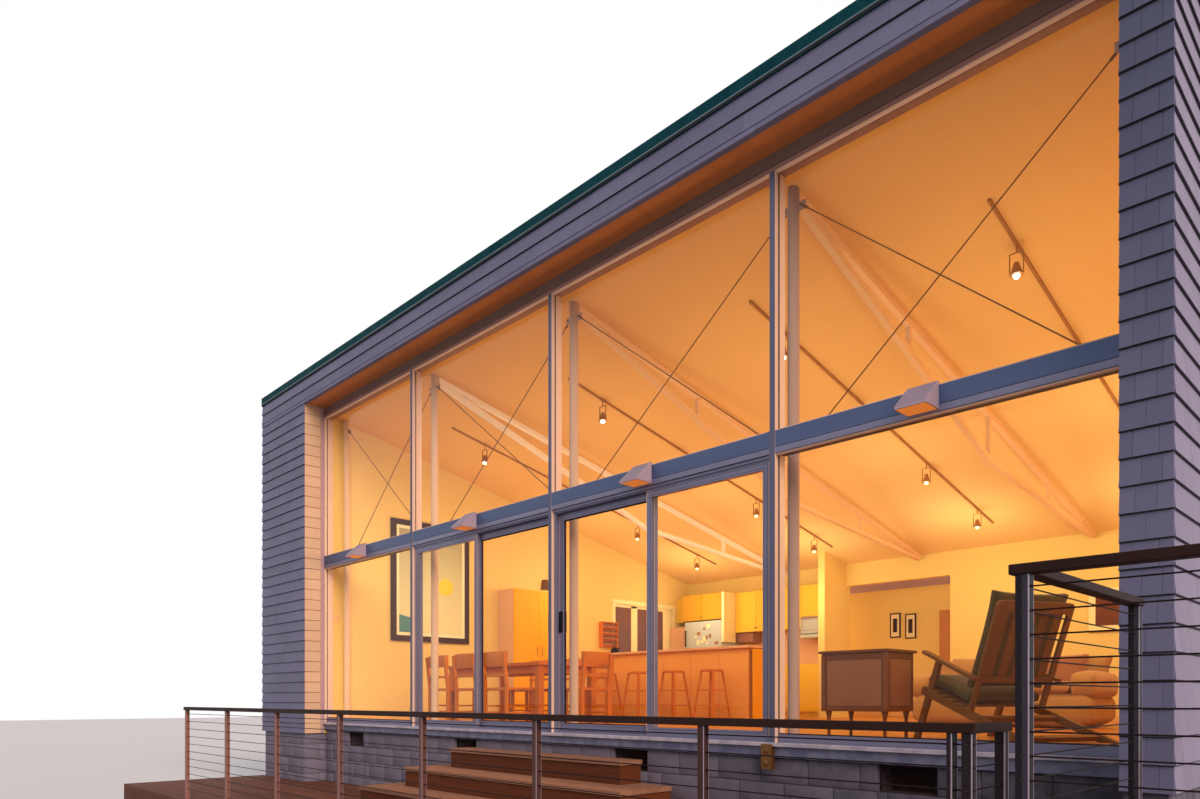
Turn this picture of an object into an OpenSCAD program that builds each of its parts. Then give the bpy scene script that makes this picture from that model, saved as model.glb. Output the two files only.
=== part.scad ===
// Beach house with a glazed front, a shed roof, a deck with steps, and cable rails.
// Millimetres. x runs along the front, y towards the back, z up from the finished floor.

/* [House] */
// Width over the two side walls
house_width = 11210; // [10700:10:12200]
// Depth from the front face to the back face
house_depth = 9600; // [9300:10:10300]
// Height of the finished floor above the ground
floor_height = 1100; // [1000:10:1500]
// Height of the roof's front edge above the floor
front_height = 4742; // [4650:1:5200]
// Height of the roof's back edge above the floor
back_height = 2663; // [2640:1:3000]
// Overhang of the roof past the back wall
back_eave = 300; // [200:10:600]

/* [Walls] */
// Thickness of the framed walls
wall_t = 150; // [120:5:180]
// Thickness of the right side wall
right_wall_t = 210; // [190:5:260]
// Width of the shingled wall left of the glass
wing_width = 1400; // [1200:10:1600]
// Thickness of the sheathing that laps over the foundation
skin_t = 25; // [20:1:40]
// Drop of the sheathing below the floor
skin_drop = 147; // [130:1:180]
// Thickness of the foundation blocks
block_t = 190; // [150:5:230]
// Thickness of the floor platform
platform_t = 110; // [90:5:125]
// Width of a foundation vent
vent_w = 400; // [300:10:500]
// Height of a foundation vent
vent_h = 190; // [150:5:240]
// Depth of the hall between the inner partition and the back face
hall_depth = 1600; // [1300:10:1700]
// Thickness of inner partitions
partition_t = 120; // [90:5:150]

/* [Roof] */
// Height of the front fascia with its green edge
fascia_h = 432; // [400:1:460]
// Thickness of the fascia board
fascia_t = 40; // [25:1:60]
// Thickness of the roof build-up, measured upright
roof_t = 419; // [380:1:440]
// Thickness of the metal roof sheet, measured upright
sheet_t = 20; // [12:1:30]
// Spacing of the standing seams
seam_pitch = 450; // [350:10:600]
// Height of a standing seam
seam_h = 28; // [15:1:40]
// Thickness of a standing seam
seam_t = 12; // [8:1:20]
// Height of the green edge trim
edge_h = 121; // [60:1:140]
// Thickness of the green edge trim
edge_t = 20; // [12:1:30]
// Thickness of the soffit board
soffit_t = 20; // [12:1:30]

/* [Window wall] */
// Set-back of the glass from the front face
recess = 323; // [270:1:340]
// Spacing of the mullions at the two sliding doors
door_bay = 2510; // [2300:10:2560]
// Width of a mullion
mullion_w = 50; // [40:1:70]
// Projection of the mullions in front of the glass
mullion_out = 50; // [35:1:60]
// Depth of the mullions behind the front of the glass
mullion_in = 80; // [75:1:110]
// Height of the lower lights, floor to transom
transom_z = 2109; // [2050:1:2150]
// Height of the transom
transom_h = 166; // [150:1:200]
// Height of the frame over the upper glass
head_h = 33; // [25:1:80]
// Height of the board between head frame and soffit
head_trim_h = 106; // [80:1:120]
// Thickness of a glass unit
glass_t = 12; // [8:1:20]
// Height of the bottom rails of the fixed lights
rail_h = 60; // [50:1:80]
// Height of the white sill
sill_h = 30; // [20:1:40]
// Projection of the white sill in front of the foundation
sill_out = 70; // [60:1:90]
// Thickness of the base trim board
trim_t = 40; // [25:1:50]

/* [Sliding doors] */
// Width of a door frame jamb
jamb_w = 25; // [15:1:40]
// Height of the door frame head
door_head_h = 35; // [25:1:50]
// Height of the door sill
door_sill_h = 20; // [15:1:30]
// Thickness of a door panel
panel_t = 40; // [36:1:45]
// Face width of the panel stiles
stile_w = 55; // [45:1:70]
// Height of the panel bottom rails
panel_rail_h = 60; // [56:1:90]
// Running clearance round a moving panel
run_gap = 5; // [5:0.5:7]
// Thickness of the track rib and of the head guide
rib_t = 6; // [4:0.5:8]
// Height of the track rib
rib_h = 10; // [8:0.5:14]
// Diameter of a roller
roller_d = 24; // [18:1:28]
// Gap between roller and track
seat_gap = 0.3; // [0.2:0.1:0.5]
// Length of the pull handle
handle_len = 200; // [150:5:260]
// Height of the handle's middle above the floor
handle_z = 1050; // [950:5:1150]
// Thickness of the handle, out from the panel
handle_t = 18; // [12:1:22]

/* [Steel frame] */
// Diameter of the pipe columns
column_d = 89; // [76:1:114]
// Wall of the pipe columns
column_wall = 6; // [4:0.5:8]
// Distance of the columns behind the glass line
column_back = 260; // [240:5:400]
// Spacing of the three inner columns
column_pitch = 2490; // [2300:10:2540]
// Diameter of the brace rods
rod_d = 10; // [8:1:16]
// Width of the truss chords
chord_w = 60; // [50:1:100]
// Depth of the truss chords
chord_d = 60; // [50:1:100]
// Width of the truss posts
post_w = 44; // [36:1:70]
// Depth of a truss at its middle, under the ceiling
truss_depth = 490; // [400:10:600]

/* [Lights] */
// Width of a wall light
light_w = 205; // [180:5:260]
// Height of a wall light
light_h = 175; // [140:5:185]
// Projection of a wall light
light_out = 185; // [140:5:200]
// Width of the ceiling track
track_w = 24; // [20:1:45]
// Depth of the ceiling track
track_h = 20; // [15:1:30]
// Number of spots on one ceiling track
spot_count = 4; // [2:1:4]

/* [Deck] */
// Height of the deck below the floor
deck_drop = 800; // [780:10:840]
// Reach of the deck in front of the house
deck_depth = 1830; // [1700:10:2200]
// Thickness of the deck boards
board_t = 38; // [25:1:45]
// Height of the deck joists
joist_h = 184; // [140:1:190]
// Thickness of the deck joists
joist_t = 38; // [35:1:50]
// Rise of one step
step_rise = 200; // [180:5:205]
// Going of one step
step_going = 340; // [300:5:360]
// Width of the top step
top_step_w = 2540; // [2200:10:2800]
// Overhang of a tread past its riser
nosing = 15; // [8:1:25]
// Distance of the steps' middle from the middle of the window wall
step_shift = -110; // [-300:10:300]

/* [Rails] */
// Size of the low rail's square posts
rail_post = 38; // [32:1:50]
// Spacing of the low rail's posts
post_pitch = 1216; // [1050:1:1300]
// Distance of the low rail's left end from the left end of the house
rail_start = 2400; // [2200:10:2600]
// Distance between the low rail's right end and the landing
rail_gap = 145; // [130:5:400]
// Distance of the rails' middle from the front edge of the deck
rail_in = 45; // [40:1:60]
// Height of the low rail above the deck
rail_height = 1030; // [950:5:1080]
// Length of the low rail's return towards the house
rail_return = 305; // [280:5:420]
// Width of the wooden cap rail
cap_w = 64; // [56:1:110]
// Thickness of the wooden cap rail
cap_t = 36; // [30:1:50]
// Diameter of a rail cable
cable_d = 6; // [5:0.5:8]
// Spacing of the rail cables
cable_pitch = 83; // [75:1:100]
// Size of the landing's corner posts
landing_post = 45; // [40:1:65]
// Height of the landing below the floor
landing_drop = 270; // [240:5:300]
// Width of the landing
landing_w = 1340; // [1200:10:1800]
// Lap of the landing over the right end of the house
landing_lap = 105; // [60:5:110]
// Distance of the landing's posts from its edges
landing_post_in = 20; // [4:1:40]
// Gap between the end of the landing's rail and the house
landing_rail_stop = 360; // [100:10:600]
// Height of the landing's rail above the landing
landing_rail_h = 1050; // [950:5:1100]

/* [Furniture] */
// Height of the bar counter
bar_h = 1120; // [1050:5:1150]
// Length of the bar counter
bar_len = 3500; // [3300:10:3700]
// Distance of the bar from the house front
bar_y = 5300; // [5200:10:5500]
// Depth of the bar top
bar_depth = 640; // [600:10:700]
// Height of a bar stool
stool_h = 760; // [700:5:800]
// Number of bar stools
stool_count = 4; // [3:1:4]
// Height of the tall cabinet
tall_cabinet_h = 2080; // [1950:10:2150]
// Height of the dining table
table_h = 750; // [720:5:780]
// Length of the dining table
table_len = 1900; // [1700:10:2000]
// Width of the dining table
table_w = 950; // [900:10:1000]
// Height of a dining chair's back
chair_h = 860; // [820:5:900]
// Height of a dining chair's seat
chair_seat_h = 450; // [430:5:470]
// Height of the sideboard
sideboard_h = 700; // [680:5:760]
// Height of the kitchen worktop
worktop_h = 910; // [880:5:940]
// Length of the kitchen along the inner partition
kitchen_len = 3400; // [3300:10:3600]
// Height of the refrigerator
fridge_h = 1780; // [1700:10:1850]
// Width of the lounge chair
lounge_w = 780; // [700:10:820]
// Tilt of the lounge chair's seat and back
lounge_tilt = 20; // [16:1:22]
// Length of the lounge chair's back
lounge_back = 845; // [780:5:880]
// Length of the sofa
sofa_len = 2000; // [1800:10:2200]
// Depth of the sofa
sofa_depth = 900; // [850:10:1000]
// Height of the sofa's seat
sofa_seat_h = 430; // [400:5:460]

/* [Hidden] */
$fn = 32;

// Plan lines
open_x0 = wing_width;
open_x1 = house_width - right_wall_t;
middle_x = (open_x0 + open_x1) / 2;
bay_x = [open_x0, middle_x - door_bay, middle_x, middle_x + door_bay, open_x1];
glass_y = recess;
frame_y0 = glass_y - mullion_out;
frame_y1 = glass_y + mullion_in;
column_y = glass_y + column_back;
partition_y = house_depth - hall_depth;
roof_y1 = house_depth + back_eave;
roof_slope = (front_height - back_height) / roof_y1;
deck_y0 = -deck_depth;
landing_x = house_width - landing_lap;
step_x = middle_x + step_shift;

// Heights
soffit_z = front_height - fascia_h;
head_z1 = soffit_z - head_trim_h;
head_z0 = head_z1 - head_h;
deck_z = -deck_drop;
ground_z = -floor_height;
landing_z = -landing_drop;

// Overall box, so that the origin lies under its middle
all_x0 = -edge_t;
all_x1 = landing_x + landing_w;
all_y0 = deck_y0;
all_y1 = roof_y1 + edge_t;

function roof_z(y) = front_height - roof_slope * y;
function ceiling_z(y) = roof_z(y) - sheet_t - roof_t;

// Moves the plan so that the origin is on the ground under the middle of the whole
module placed() {
  translate([-(all_x0 + all_x1) / 2, -(all_y0 + all_y1) / 2, floor_height]) children();
}

module block(x0, x1, y0, y1, z0, z1) {
  translate([x0, y0, z0]) cube([x1 - x0, y1 - y0, z1 - z0]);
}

// Extrudes an outline drawn as (y, z) along x
module side_profile(x0, x1) {
  translate([x0, 0, 0]) rotate([90, 0, 90]) linear_extrude(x1 - x0) children();
}

// A round bar between two points of one upright plane across the house
module rod_across(x0, z0, x1, z1, y, d) {
  run = x1 - x0;
  rise = z1 - z0;
  translate([x0, y, z0]) rotate([0, atan2(run, rise), 0]) cylinder(h = norm([run, rise]), d = d);
}

// Outline of a wall that stands under the roof between two distances from the front
module under_roof(y0, y1, z0) {
  flat_y = max(y0, min(y1, frame_y1));
  polygon(concat(
    [[y0, z0]],
    y0 < frame_y1 ? [[y0, soffit_z], [flat_y, soffit_z]] : [],
    y1 > frame_y1 ? [[flat_y, ceiling_z(flat_y)], [y1, ceiling_z(y1)]] : [],
    [[y1, z0]]));
}

// Foundation, with a vent under each bay, a little left of the bay's middle
vent_shift = -225;
vent_pitch = 2490;
function vent_x(i) = middle_x + (i - 1.5) * vent_pitch + vent_shift;

module foundation_front() {
  color("gray") placed() difference() {
    block(open_x0 - skin_t, open_x1, glass_y, glass_y + block_t, ground_z, -platform_t);
    for (i = [0:3])
      block(vent_x(i) - vent_w / 2, vent_x(i) + vent_w / 2, glass_y - 1, glass_y + block_t + 1,
            -platform_t - vent_h, -platform_t + 1);
  }
}

module foundation_wing() {
  color("gray") placed() {
    block(skin_t + block_t, open_x0 - skin_t, skin_t, skin_t + block_t, ground_z, -platform_t);
    block(open_x0 - skin_t - block_t, open_x0 - skin_t, skin_t + block_t, glass_y + block_t,
          ground_z, -platform_t);
  }
}

module foundation_sides() {
  color("gray") placed() {
    block(skin_t, skin_t + block_t, skin_t, house_depth - skin_t, ground_z, -platform_t);
    block(open_x1, house_width - skin_t, skin_t, house_depth - skin_t, ground_z, -platform_t);
  }
}

module foundation_back() {
  color("gray") placed()
    block(skin_t + block_t, open_x1, house_depth - skin_t - block_t, house_depth - skin_t,
          ground_z, -platform_t);
}

// Floor
module floor_platform() {
  color("sandybrown") placed() {
    block(skin_t, house_width - skin_t, glass_y, house_depth - skin_t, -platform_t, 0);
    block(skin_t, open_x0 - skin_t, skin_t, glass_y, -platform_t, 0);
    block(open_x1, house_width - skin_t, skin_t, glass_y, -platform_t, 0);
  }
}

// The boards under the sill and over the head frame
module trim_boards() {
  color("lightslategray") placed() {
    block(open_x0, open_x1, glass_y - trim_t, glass_y, -platform_t, -sill_h);
    block(open_x0, open_x1, glass_y - trim_t, frame_y1, head_z1, soffit_z);
  }
}

module window_sill() {
  color("gainsboro") placed()
    block(open_x0, open_x1, glass_y - sill_out, glass_y, -sill_h, 0);
}

// Walls
module wing_wall() {
  color("lightsteelblue") placed() {
    block(0, open_x0, 0, wall_t, 0, soffit_z);
    block(0, open_x0, 0, skin_t, -skin_drop, 0);
    block(0, skin_t, 0, wall_t, -skin_drop, 0);
    block(open_x0 - skin_t, open_x0, 0, wall_t, -skin_drop, 0);
  }
}

// The side window lies in line in the outer wall and in the wall of the room
window_back = 450;
window_w = 1660;
window_y1 = partition_y - window_back;
window_y0 = window_y1 - window_w;
window_z0 = 1050;
window_z1 = 2100;

module window_hole(x0, x1) {
  block(x0 - 1, x1 + 1, window_y0, window_y1, window_z0, window_z1);
}

module left_wall() {
  color("lightsteelblue") placed() difference() {
    union() {
      side_profile(0, wall_t) under_roof(wall_t, house_depth, 0);
      block(0, skin_t, wall_t, house_depth, -skin_drop, 0);
      block(0, wall_t, house_depth - skin_t, house_depth, -skin_drop, 0);
    }
    window_hole(0, wall_t);
  }
}

module right_wall() {
  color("lightsteelblue") placed() {
    side_profile(open_x1, house_width) under_roof(0, house_depth, 0);
    block(open_x1, house_width, 0, skin_t, -skin_drop, 0);
    block(house_width - skin_t, house_width, 0, house_depth, -skin_drop, 0);
    block(open_x1, house_width, house_depth - skin_t, house_depth, -skin_drop, 0);
  }
}

module back_wall() {
  color("lightsteelblue") placed() {
    side_profile(wall_t, open_x1) under_roof(house_depth - wall_t, house_depth, 0);
    block(wall_t, open_x1, house_depth - skin_t, house_depth, -skin_drop, 0);
  }
}

module room_side_wall() {
  color("wheat") placed() difference() {
    union() {
      side_profile(open_x0 - wall_t, open_x0) under_roof(wall_t, partition_y, 0);
      block(open_x0 - skin_t, open_x0, wall_t, glass_y, -skin_drop, 0);
    }
    window_hole(open_x0 - wall_t, open_x0);
  }
}

// The hall opening in the back partition, and the short wall at the kitchen's end
hall_opening_w = 1780;
hall_head_h = 373;
kitchen_wall_len = 700;
kitchen_x1 = open_x0 + kitchen_len;
hall_x0 = kitchen_x1 + partition_t;
hall_x1 = hall_x0 + hall_opening_w;
hall_z1 = ceiling_z(partition_y) - hall_head_h;

module room_partition() {
  color("wheat") placed() {
    side_profile(wall_t, hall_x0) under_roof(partition_y, partition_y + partition_t, 0);
    side_profile(hall_x1, open_x1) under_roof(partition_y, partition_y + partition_t, 0);
    side_profile(hall_x0, hall_x1) under_roof(partition_y, partition_y + partition_t, hall_z1);
    side_profile(hall_x0 - partition_t, hall_x0)
      under_roof(partition_y - kitchen_wall_len, partition_y, 0);
  }
}

// Roof
module front_fascia() {
  color("lightsteelblue") placed() side_profile(0, house_width) polygon([
    [0, soffit_z], [fascia_t, soffit_z],
    [fascia_t, roof_z(fascia_t) - sheet_t], [0, roof_z(0) - sheet_t]]);
}

module soffit() {
  color("lightsteelblue") placed()
    block(0, house_width, fascia_t, frame_y1, soffit_z, soffit_z + soffit_t);
}

module roof_deck() {
  color("wheat") placed() side_profile(0, house_width) polygon([
    [fascia_t, soffit_z + soffit_t], [frame_y1, soffit_z + soffit_t],
    [frame_y1, ceiling_z(frame_y1)], [roof_y1, ceiling_z(roof_y1)],
    [roof_y1, roof_z(roof_y1) - sheet_t], [fascia_t, roof_z(fascia_t) - sheet_t]]);
}

module roof_sheet() {
  seams = floor((house_width - seam_pitch / 2) / seam_pitch);
  first_x = (house_width - seams * seam_pitch) / 2;
  color("darkgreen") placed() {
    side_profile(0, house_width) polygon([
      [0, roof_z(0) - sheet_t], [roof_y1, roof_z(roof_y1) - sheet_t],
      [roof_y1, roof_z(roof_y1)], [0, roof_z(0)]]);
    for (i = [0:seams]) side_profile(first_x + i * seam_pitch - seam_t / 2,
                                     first_x + i * seam_pitch + seam_t / 2)
      polygon([[edge_t, roof_z(edge_t) - sheet_t / 2],
        [roof_y1 - edge_t, roof_z(roof_y1 - edge_t) - sheet_t / 2],
        [roof_y1 - edge_t, roof_z(roof_y1 - edge_t) + seam_h], [edge_t, roof_z(edge_t) + seam_h]]);
  }
}

module roof_edge() {
  color("darkgreen") placed() {
    block(-edge_t, house_width + edge_t, -edge_t, 0, front_height - edge_h, front_height);
    block(-edge_t, house_width + edge_t, roof_y1, roof_y1 + edge_t,
          roof_z(roof_y1) - edge_h, roof_z(roof_y1));
    for (x = [-edge_t, house_width]) side_profile(x, x + edge_t)
      polygon([[0, roof_z(0) - edge_h], [roof_y1, roof_z(roof_y1) - edge_h],
        [roof_y1, roof_z(roof_y1)], [0, roof_z(0)]]);
  }
}

// Window wall
half_mullion = mullion_w / 2;
function bay_left(i) = bay_x[i] + (i == 0 ? 0 : half_mullion);
function bay_right(i) = bay_x[i + 1] - (i == 3 ? 0 : half_mullion);

module mullions() {
  color("silver") placed() for (i = [1:3])
    block(bay_x[i] - half_mullion, bay_x[i] + half_mullion, frame_y0, frame_y1, 0, head_z0);
}

transom_inset = 7;

module transoms() {
  color("slategray") placed() for (i = [0:3])
    block(bay_left(i), bay_right(i), frame_y0 + transom_inset, frame_y1,
          transom_z, transom_z + transom_h);
}

module window_head() {
  color("silver") placed() block(open_x0, open_x1, frame_y0, frame_y1, head_z0, head_z1);
}

module pane(x0, x1, y, z0, z1) {
  block(x0, x1, y - glass_t / 2, y + glass_t / 2, z0, z1);
}

module upper_glass() {
  color("lightblue", 0.4) placed() for (i = [0:3])
    pane(bay_left(i), bay_right(i), glass_y, transom_z + transom_h, head_z0);
}

// Sliding doors: the fixed panel stands in front, the moving one slides behind it
fixed_y = glass_y;
moving_y = fixed_y + panel_t + run_gap;
door_z1 = transom_z - door_head_h;
sash_z0 = door_sill_h + run_gap;
sash_z1 = door_z1 - run_gap;
track_z1 = door_sill_h + rib_h;
guide_drop = 20;
groove_gap = 6;
groove_w = rib_t + 2 * groove_gap;
roller_w = 10;
handle_w = 30;
handle_in = 10;

function door_left(i) = bay_x[i] + half_mullion + jamb_w;
function door_right(i) = bay_x[i + 1] - half_mullion - jamb_w;
function panel_w(i) = (door_right(i) - door_left(i) + stile_w) / 2;

module door_frames() {
  color("silver") placed() for (i = [1, 2]) {
    block(bay_left(i), door_left(i), fixed_y - panel_t / 2, frame_y1, 0, transom_z);
    block(door_right(i), bay_right(i), fixed_y - panel_t / 2, frame_y1, 0, transom_z);
    block(door_left(i), door_right(i), fixed_y - panel_t / 2, frame_y1, door_z1, transom_z);
    block(door_left(i), door_right(i), moving_y - rib_t / 2, moving_y + rib_t / 2,
          door_z1 - guide_drop, door_z1);
  }
}

// Rails along the floor: plain under the fixed lights, with a track rib at the doors
module sill_rails() {
  color("silver") placed() {
    for (i = [0, 3]) block(bay_left(i), bay_right(i), fixed_y - panel_t / 2, frame_y1, 0, rail_h);
    for (i = [1, 2]) {
      block(door_left(i), door_right(i), fixed_y - panel_t / 2, frame_y1, 0, door_sill_h);
      block(door_left(i), door_right(i), moving_y - rib_t / 2, moving_y + rib_t / 2,
            door_sill_h, track_z1);
    }
  }
}

// An open rectangular panel frame
module panel_frame(x0, x1, y, z0, z1, bottom_h, top_h) {
  difference() {
    block(x0, x1, y - panel_t / 2, y + panel_t / 2, z0, z1);
    block(x0 + stile_w, x1 - stile_w, y - panel_t, y + panel_t, z0 + bottom_h, z1 - top_h);
  }
}

module fixed_panels() {
  color("silver") placed() {
    panel_frame(door_left(1), door_left(1) + panel_w(1), fixed_y, door_sill_h, door_z1,
                panel_rail_h, panel_rail_h);
    panel_frame(door_right(2) - panel_w(2), door_right(2), fixed_y, door_sill_h, door_z1,
                panel_rail_h, panel_rail_h);
  }
}

// The fixed lower glass: the outer bays, the fixed door panels and the side window
module lower_glass() {
  color("lightblue", 0.4) placed() {
    for (i = [0, 3]) pane(bay_left(i), bay_right(i), glass_y, rail_h, transom_z);
    pane(door_left(1) + stile_w, door_left(1) + panel_w(1) - stile_w, fixed_y,
         door_sill_h + panel_rail_h, door_z1 - panel_rail_h);
    pane(door_right(2) - panel_w(2) + stile_w, door_right(2) - stile_w, fixed_y,
         door_sill_h + panel_rail_h, door_z1 - panel_rail_h);
    for (x = window_frame_x) block(
      x - glass_t / 2, x + glass_t / 2, window_y0 + window_frame_w, window_y1 - window_frame_w,
      window_z0 + window_frame_w, window_z1 - window_frame_w);
  }
}

// Frames of the side window, in the outer wall and in the wall of the room
window_frame_w = 60;
window_frame_t = 70;
window_frame_x = [wall_t / 2, open_x0 - wall_t / 2];

module side_window() {
  color("whitesmoke") placed() for (x = window_frame_x) {
    difference() {
      block(x - window_frame_t / 2, x + window_frame_t / 2, window_y0, window_y1,
            window_z0, window_z1);
      block(x - window_frame_t, x + window_frame_t, window_y0 + window_frame_w,
            window_y1 - window_frame_w, window_z0 + window_frame_w, window_z1 - window_frame_w);
    }
    for (s = [-1, 1]) block(
      x + s * window_frame_t / 2 - (s > 0 ? (window_frame_t - glass_t) / 2 : 0),
      x + s * window_frame_t / 2 + (s < 0 ? (window_frame_t - glass_t) / 2 : 0),
      (window_y0 + window_y1 - window_frame_w) / 2, (window_y0 + window_y1 + window_frame_w) / 2,
      window_z0 + window_frame_w / 2, window_z1 - window_frame_w / 2);
  }
}

// A moving sash from x0 to x1 with a groove at head and foot and two rollers
module moving_sash(x0, x1) {
  roller_z = track_z1 + seat_gap + roller_d / 2;
  groove_top = roller_z + roller_d / 2 + 2;
  difference() {
    panel_frame(x0, x1, moving_y, sash_z0, sash_z1, panel_rail_h, panel_rail_h);
    block(x0 - 1, x1 + 1, moving_y - groove_w / 2, moving_y + groove_w / 2,
          sash_z0 - 1, groove_top);
    block(x0 - 1, x1 + 1, moving_y - groove_w / 2, moving_y + groove_w / 2,
          door_z1 - guide_drop - groove_gap, sash_z1 + 1);
  }
  for (x = [x0 + 2 * stile_w, x1 - 2 * stile_w]) translate([x, moving_y, roller_z])
    rotate([90, 0, 0]) {
      cylinder(h = roller_w, d = roller_d, center = true);
      cylinder(h = groove_w + 2, d = roller_d / 3, center = true);
    }
}

module sash_glass(x0, x1) {
  pane(x0 + stile_w, x1 - stile_w, moving_y, sash_z0 + panel_rail_h, sash_z1 - panel_rail_h);
}

// A pull on both faces of the lock stile that starts at x0
module sash_handle(x0) {
  front = moving_y - panel_t / 2;
  back = moving_y + panel_t / 2;
  for (y = [front - handle_t, back])
    block(x0, x0 + handle_w, y, y + handle_t, handle_z - handle_len / 2, handle_z + handle_len / 2);
}

left_sash_x1 = door_right(1) - run_gap;
left_sash_x0 = door_right(1) - panel_w(1);
right_sash_x0 = door_left(2) + run_gap;
right_sash_x1 = door_left(2) + panel_w(2);

module left_door_sash() {
  color("silver") placed() moving_sash(left_sash_x0, left_sash_x1);
}

module left_door_glass() {
  color("lightblue", 0.4) placed() sash_glass(left_sash_x0, left_sash_x1);
}

module left_door_handle() {
  color("black") placed() sash_handle(left_sash_x1 - handle_in - handle_w);
}

module right_door_sash() {
  color("silver") placed() moving_sash(right_sash_x0, right_sash_x1);
}

module right_door_glass() {
  color("lightblue", 0.4) placed() sash_glass(right_sash_x0, right_sash_x1);
}

module right_door_handle() {
  color("black") placed() sash_handle(right_sash_x0 + handle_in);
}

// Steel frame
base_plate = 150;
base_plate_t = 12;
column_x = [open_x0 + base_plate / 2, middle_x - column_pitch, middle_x, middle_x + column_pitch,
            open_x1 - base_plate / 2];
brace_top_z = ceiling_z(column_y) - 150;
brace_foot_z = transom_z + 100;
gusset = 60;
gusset_t = 10;
fork_d = 20;
fork_len = 75;
pin_d = 12;
pin_over = 5;

module steel_columns() {
  color("whitesmoke") placed() for (x = column_x) {
    difference() {
      translate([x, column_y, base_plate_t]) cylinder(h = front_height, d = column_d);
      translate([x, column_y, 0]) cylinder(h = front_height + 100, d = column_d - 2 * column_wall);
      side_profile(x - column_d, x + column_d) polygon([
        [column_y - column_d, ceiling_z(column_y - column_d)],
        [column_y + column_d, ceiling_z(column_y + column_d)],
        [column_y + column_d, 2 * front_height], [column_y - column_d, 2 * front_height]]);
    }
    block(x - base_plate / 2, x + base_plate / 2, column_y - base_plate / 2,
          column_y + base_plate / 2, 0, base_plate_t);
  }
}

// A brace rod with a fork and a pin at each end
module brace(x0, z0, x1, z1, y) {
  way = fork_len * [x1 - x0, z1 - z0] / norm([x1 - x0, z1 - z0]);
  rod_across(x0, z0, x1, z1, y, rod_d);
  rod_across(x0, z0, x0 + way[0], z0 + way[1], y, fork_d);
  rod_across(x1 - way[0], z1 - way[1], x1, z1, y, fork_d);
  for (p = [[x0, z0], [x1, z1]]) translate([p[0], column_y - fork_d - pin_over, p[1]])
    rotate([-90, 0, 0]) cylinder(h = 2 * (fork_d + pin_over), d = pin_d);
}

module cross_braces() {
  color("dimgray") placed() for (i = [0:3]) {
    x0 = column_x[i] + column_d / 2;
    x1 = column_x[i + 1] - column_d / 2;
    for (z = [brace_top_z, brace_foot_z], end = [0, 1]) {
      plate_x = end == 0 ? x0 : x1 - gusset;
      block(plate_x, plate_x + gusset, column_y - gusset_t / 2, column_y + gusset_t / 2,
            z - gusset / 2, z + gusset / 2);
    }
    inset = gusset / 2;
    side = (gusset_t + rod_d) / 2;
    brace(x0 + inset, brace_top_z, x1 - inset, brace_foot_z, column_y - side);
    brace(x0 + inset, brace_foot_z, x1 - inset, brace_top_z, column_y + side);
  }
}

// One truss: a chord under the ceiling, a V of two lower chords and three posts
module truss(x) {
  y0 = column_y + column_d / 2;
  y1 = partition_y;
  mid = (y0 + y1) / 2;
  top = function(y) ceiling_z(y) - seat_gap;
  low = function(y)
    ceiling_z(y) - chord_d - (truss_depth - chord_d) * (1 - abs(y - mid) / (mid - y0));
  side_profile(x - chord_w / 2, x + chord_w / 2) {
    polygon([[y0, top(y0)], [y1, top(y1)], [y1, top(y1) - chord_d], [y0, top(y0) - chord_d]]);
    polygon([[y0, top(y0) - chord_d / 2], [mid, low(mid)], [y1, top(y1) - chord_d / 2],
      [y1, top(y1) - 1.5 * chord_d], [mid, low(mid) - chord_d], [y0, top(y0) - 1.5 * chord_d]]);
  }
  for (y = [(y0 + mid) / 2, mid, (mid + y1) / 2])
    block(x - post_w / 2, x + post_w / 2, y - post_w / 2, y + post_w / 2,
          low(y) - chord_d / 2, top(y) - chord_d / 2);
}

module roof_trusses() {
  color("white") placed() for (i = [1:3]) truss(column_x[i]);
}

// Lights
light_top_out = 12;
light_lip = 20;
light_lift = 15;
light_shift = [-50, -48, -45, -17];

module wall_lights() {
  face_y = frame_y0 + transom_inset;
  z0 = transom_z + light_lift;
  color("gainsboro") placed() for (i = [0:3]) {
    x = (bay_x[i] + bay_x[i + 1]) / 2 + light_shift[i];
    side_profile(x - light_w / 2, x + light_w / 2)
      polygon([[face_y, z0], [face_y, z0 + light_h], [face_y - light_top_out, z0 + light_h],
        [face_y - light_out, z0 + light_lip], [face_y - light_out, z0]]);
  }
}

// Ceiling tracks off the middle of their bays, with reflector lamps in yokes
track_y0 = 1460;
track_y1 = 7170;
track_shift = [210, 190, 200, -65];
spot_in = 540;
spot_stem = 60;
spot_stem_d = 12;
yoke_t = 5;
yoke_b = 14;
lamp_z = 235;
lamp_h = 95;
lamp_d = 94;
lamp_neck_d = 38;
lamp_ring = 4;
lamp_ring_h = 14;

module spot() {
  reach = lamp_d / 2 + lamp_ring;
  cylinder(h = track_h / 2, d = spot_stem_d);
  translate([0, 0, -spot_stem]) cylinder(h = spot_stem, d = spot_stem_d);
  block(-reach - yoke_t / 2, reach + yoke_t / 2, -yoke_b / 2, yoke_b / 2,
        -spot_stem - yoke_t, -spot_stem);
  for (s = [-1, 1]) translate([s * reach, 0, 0])
    block(-yoke_t / 2, yoke_t / 2, -yoke_b / 2, yoke_b / 2, -lamp_z, -spot_stem);
  translate([0, 0, -lamp_z]) {
    cylinder(h = lamp_ring_h, d = 2 * reach);
    cylinder(h = lamp_h, d1 = lamp_d, d2 = lamp_neck_d);
  }
}

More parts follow.
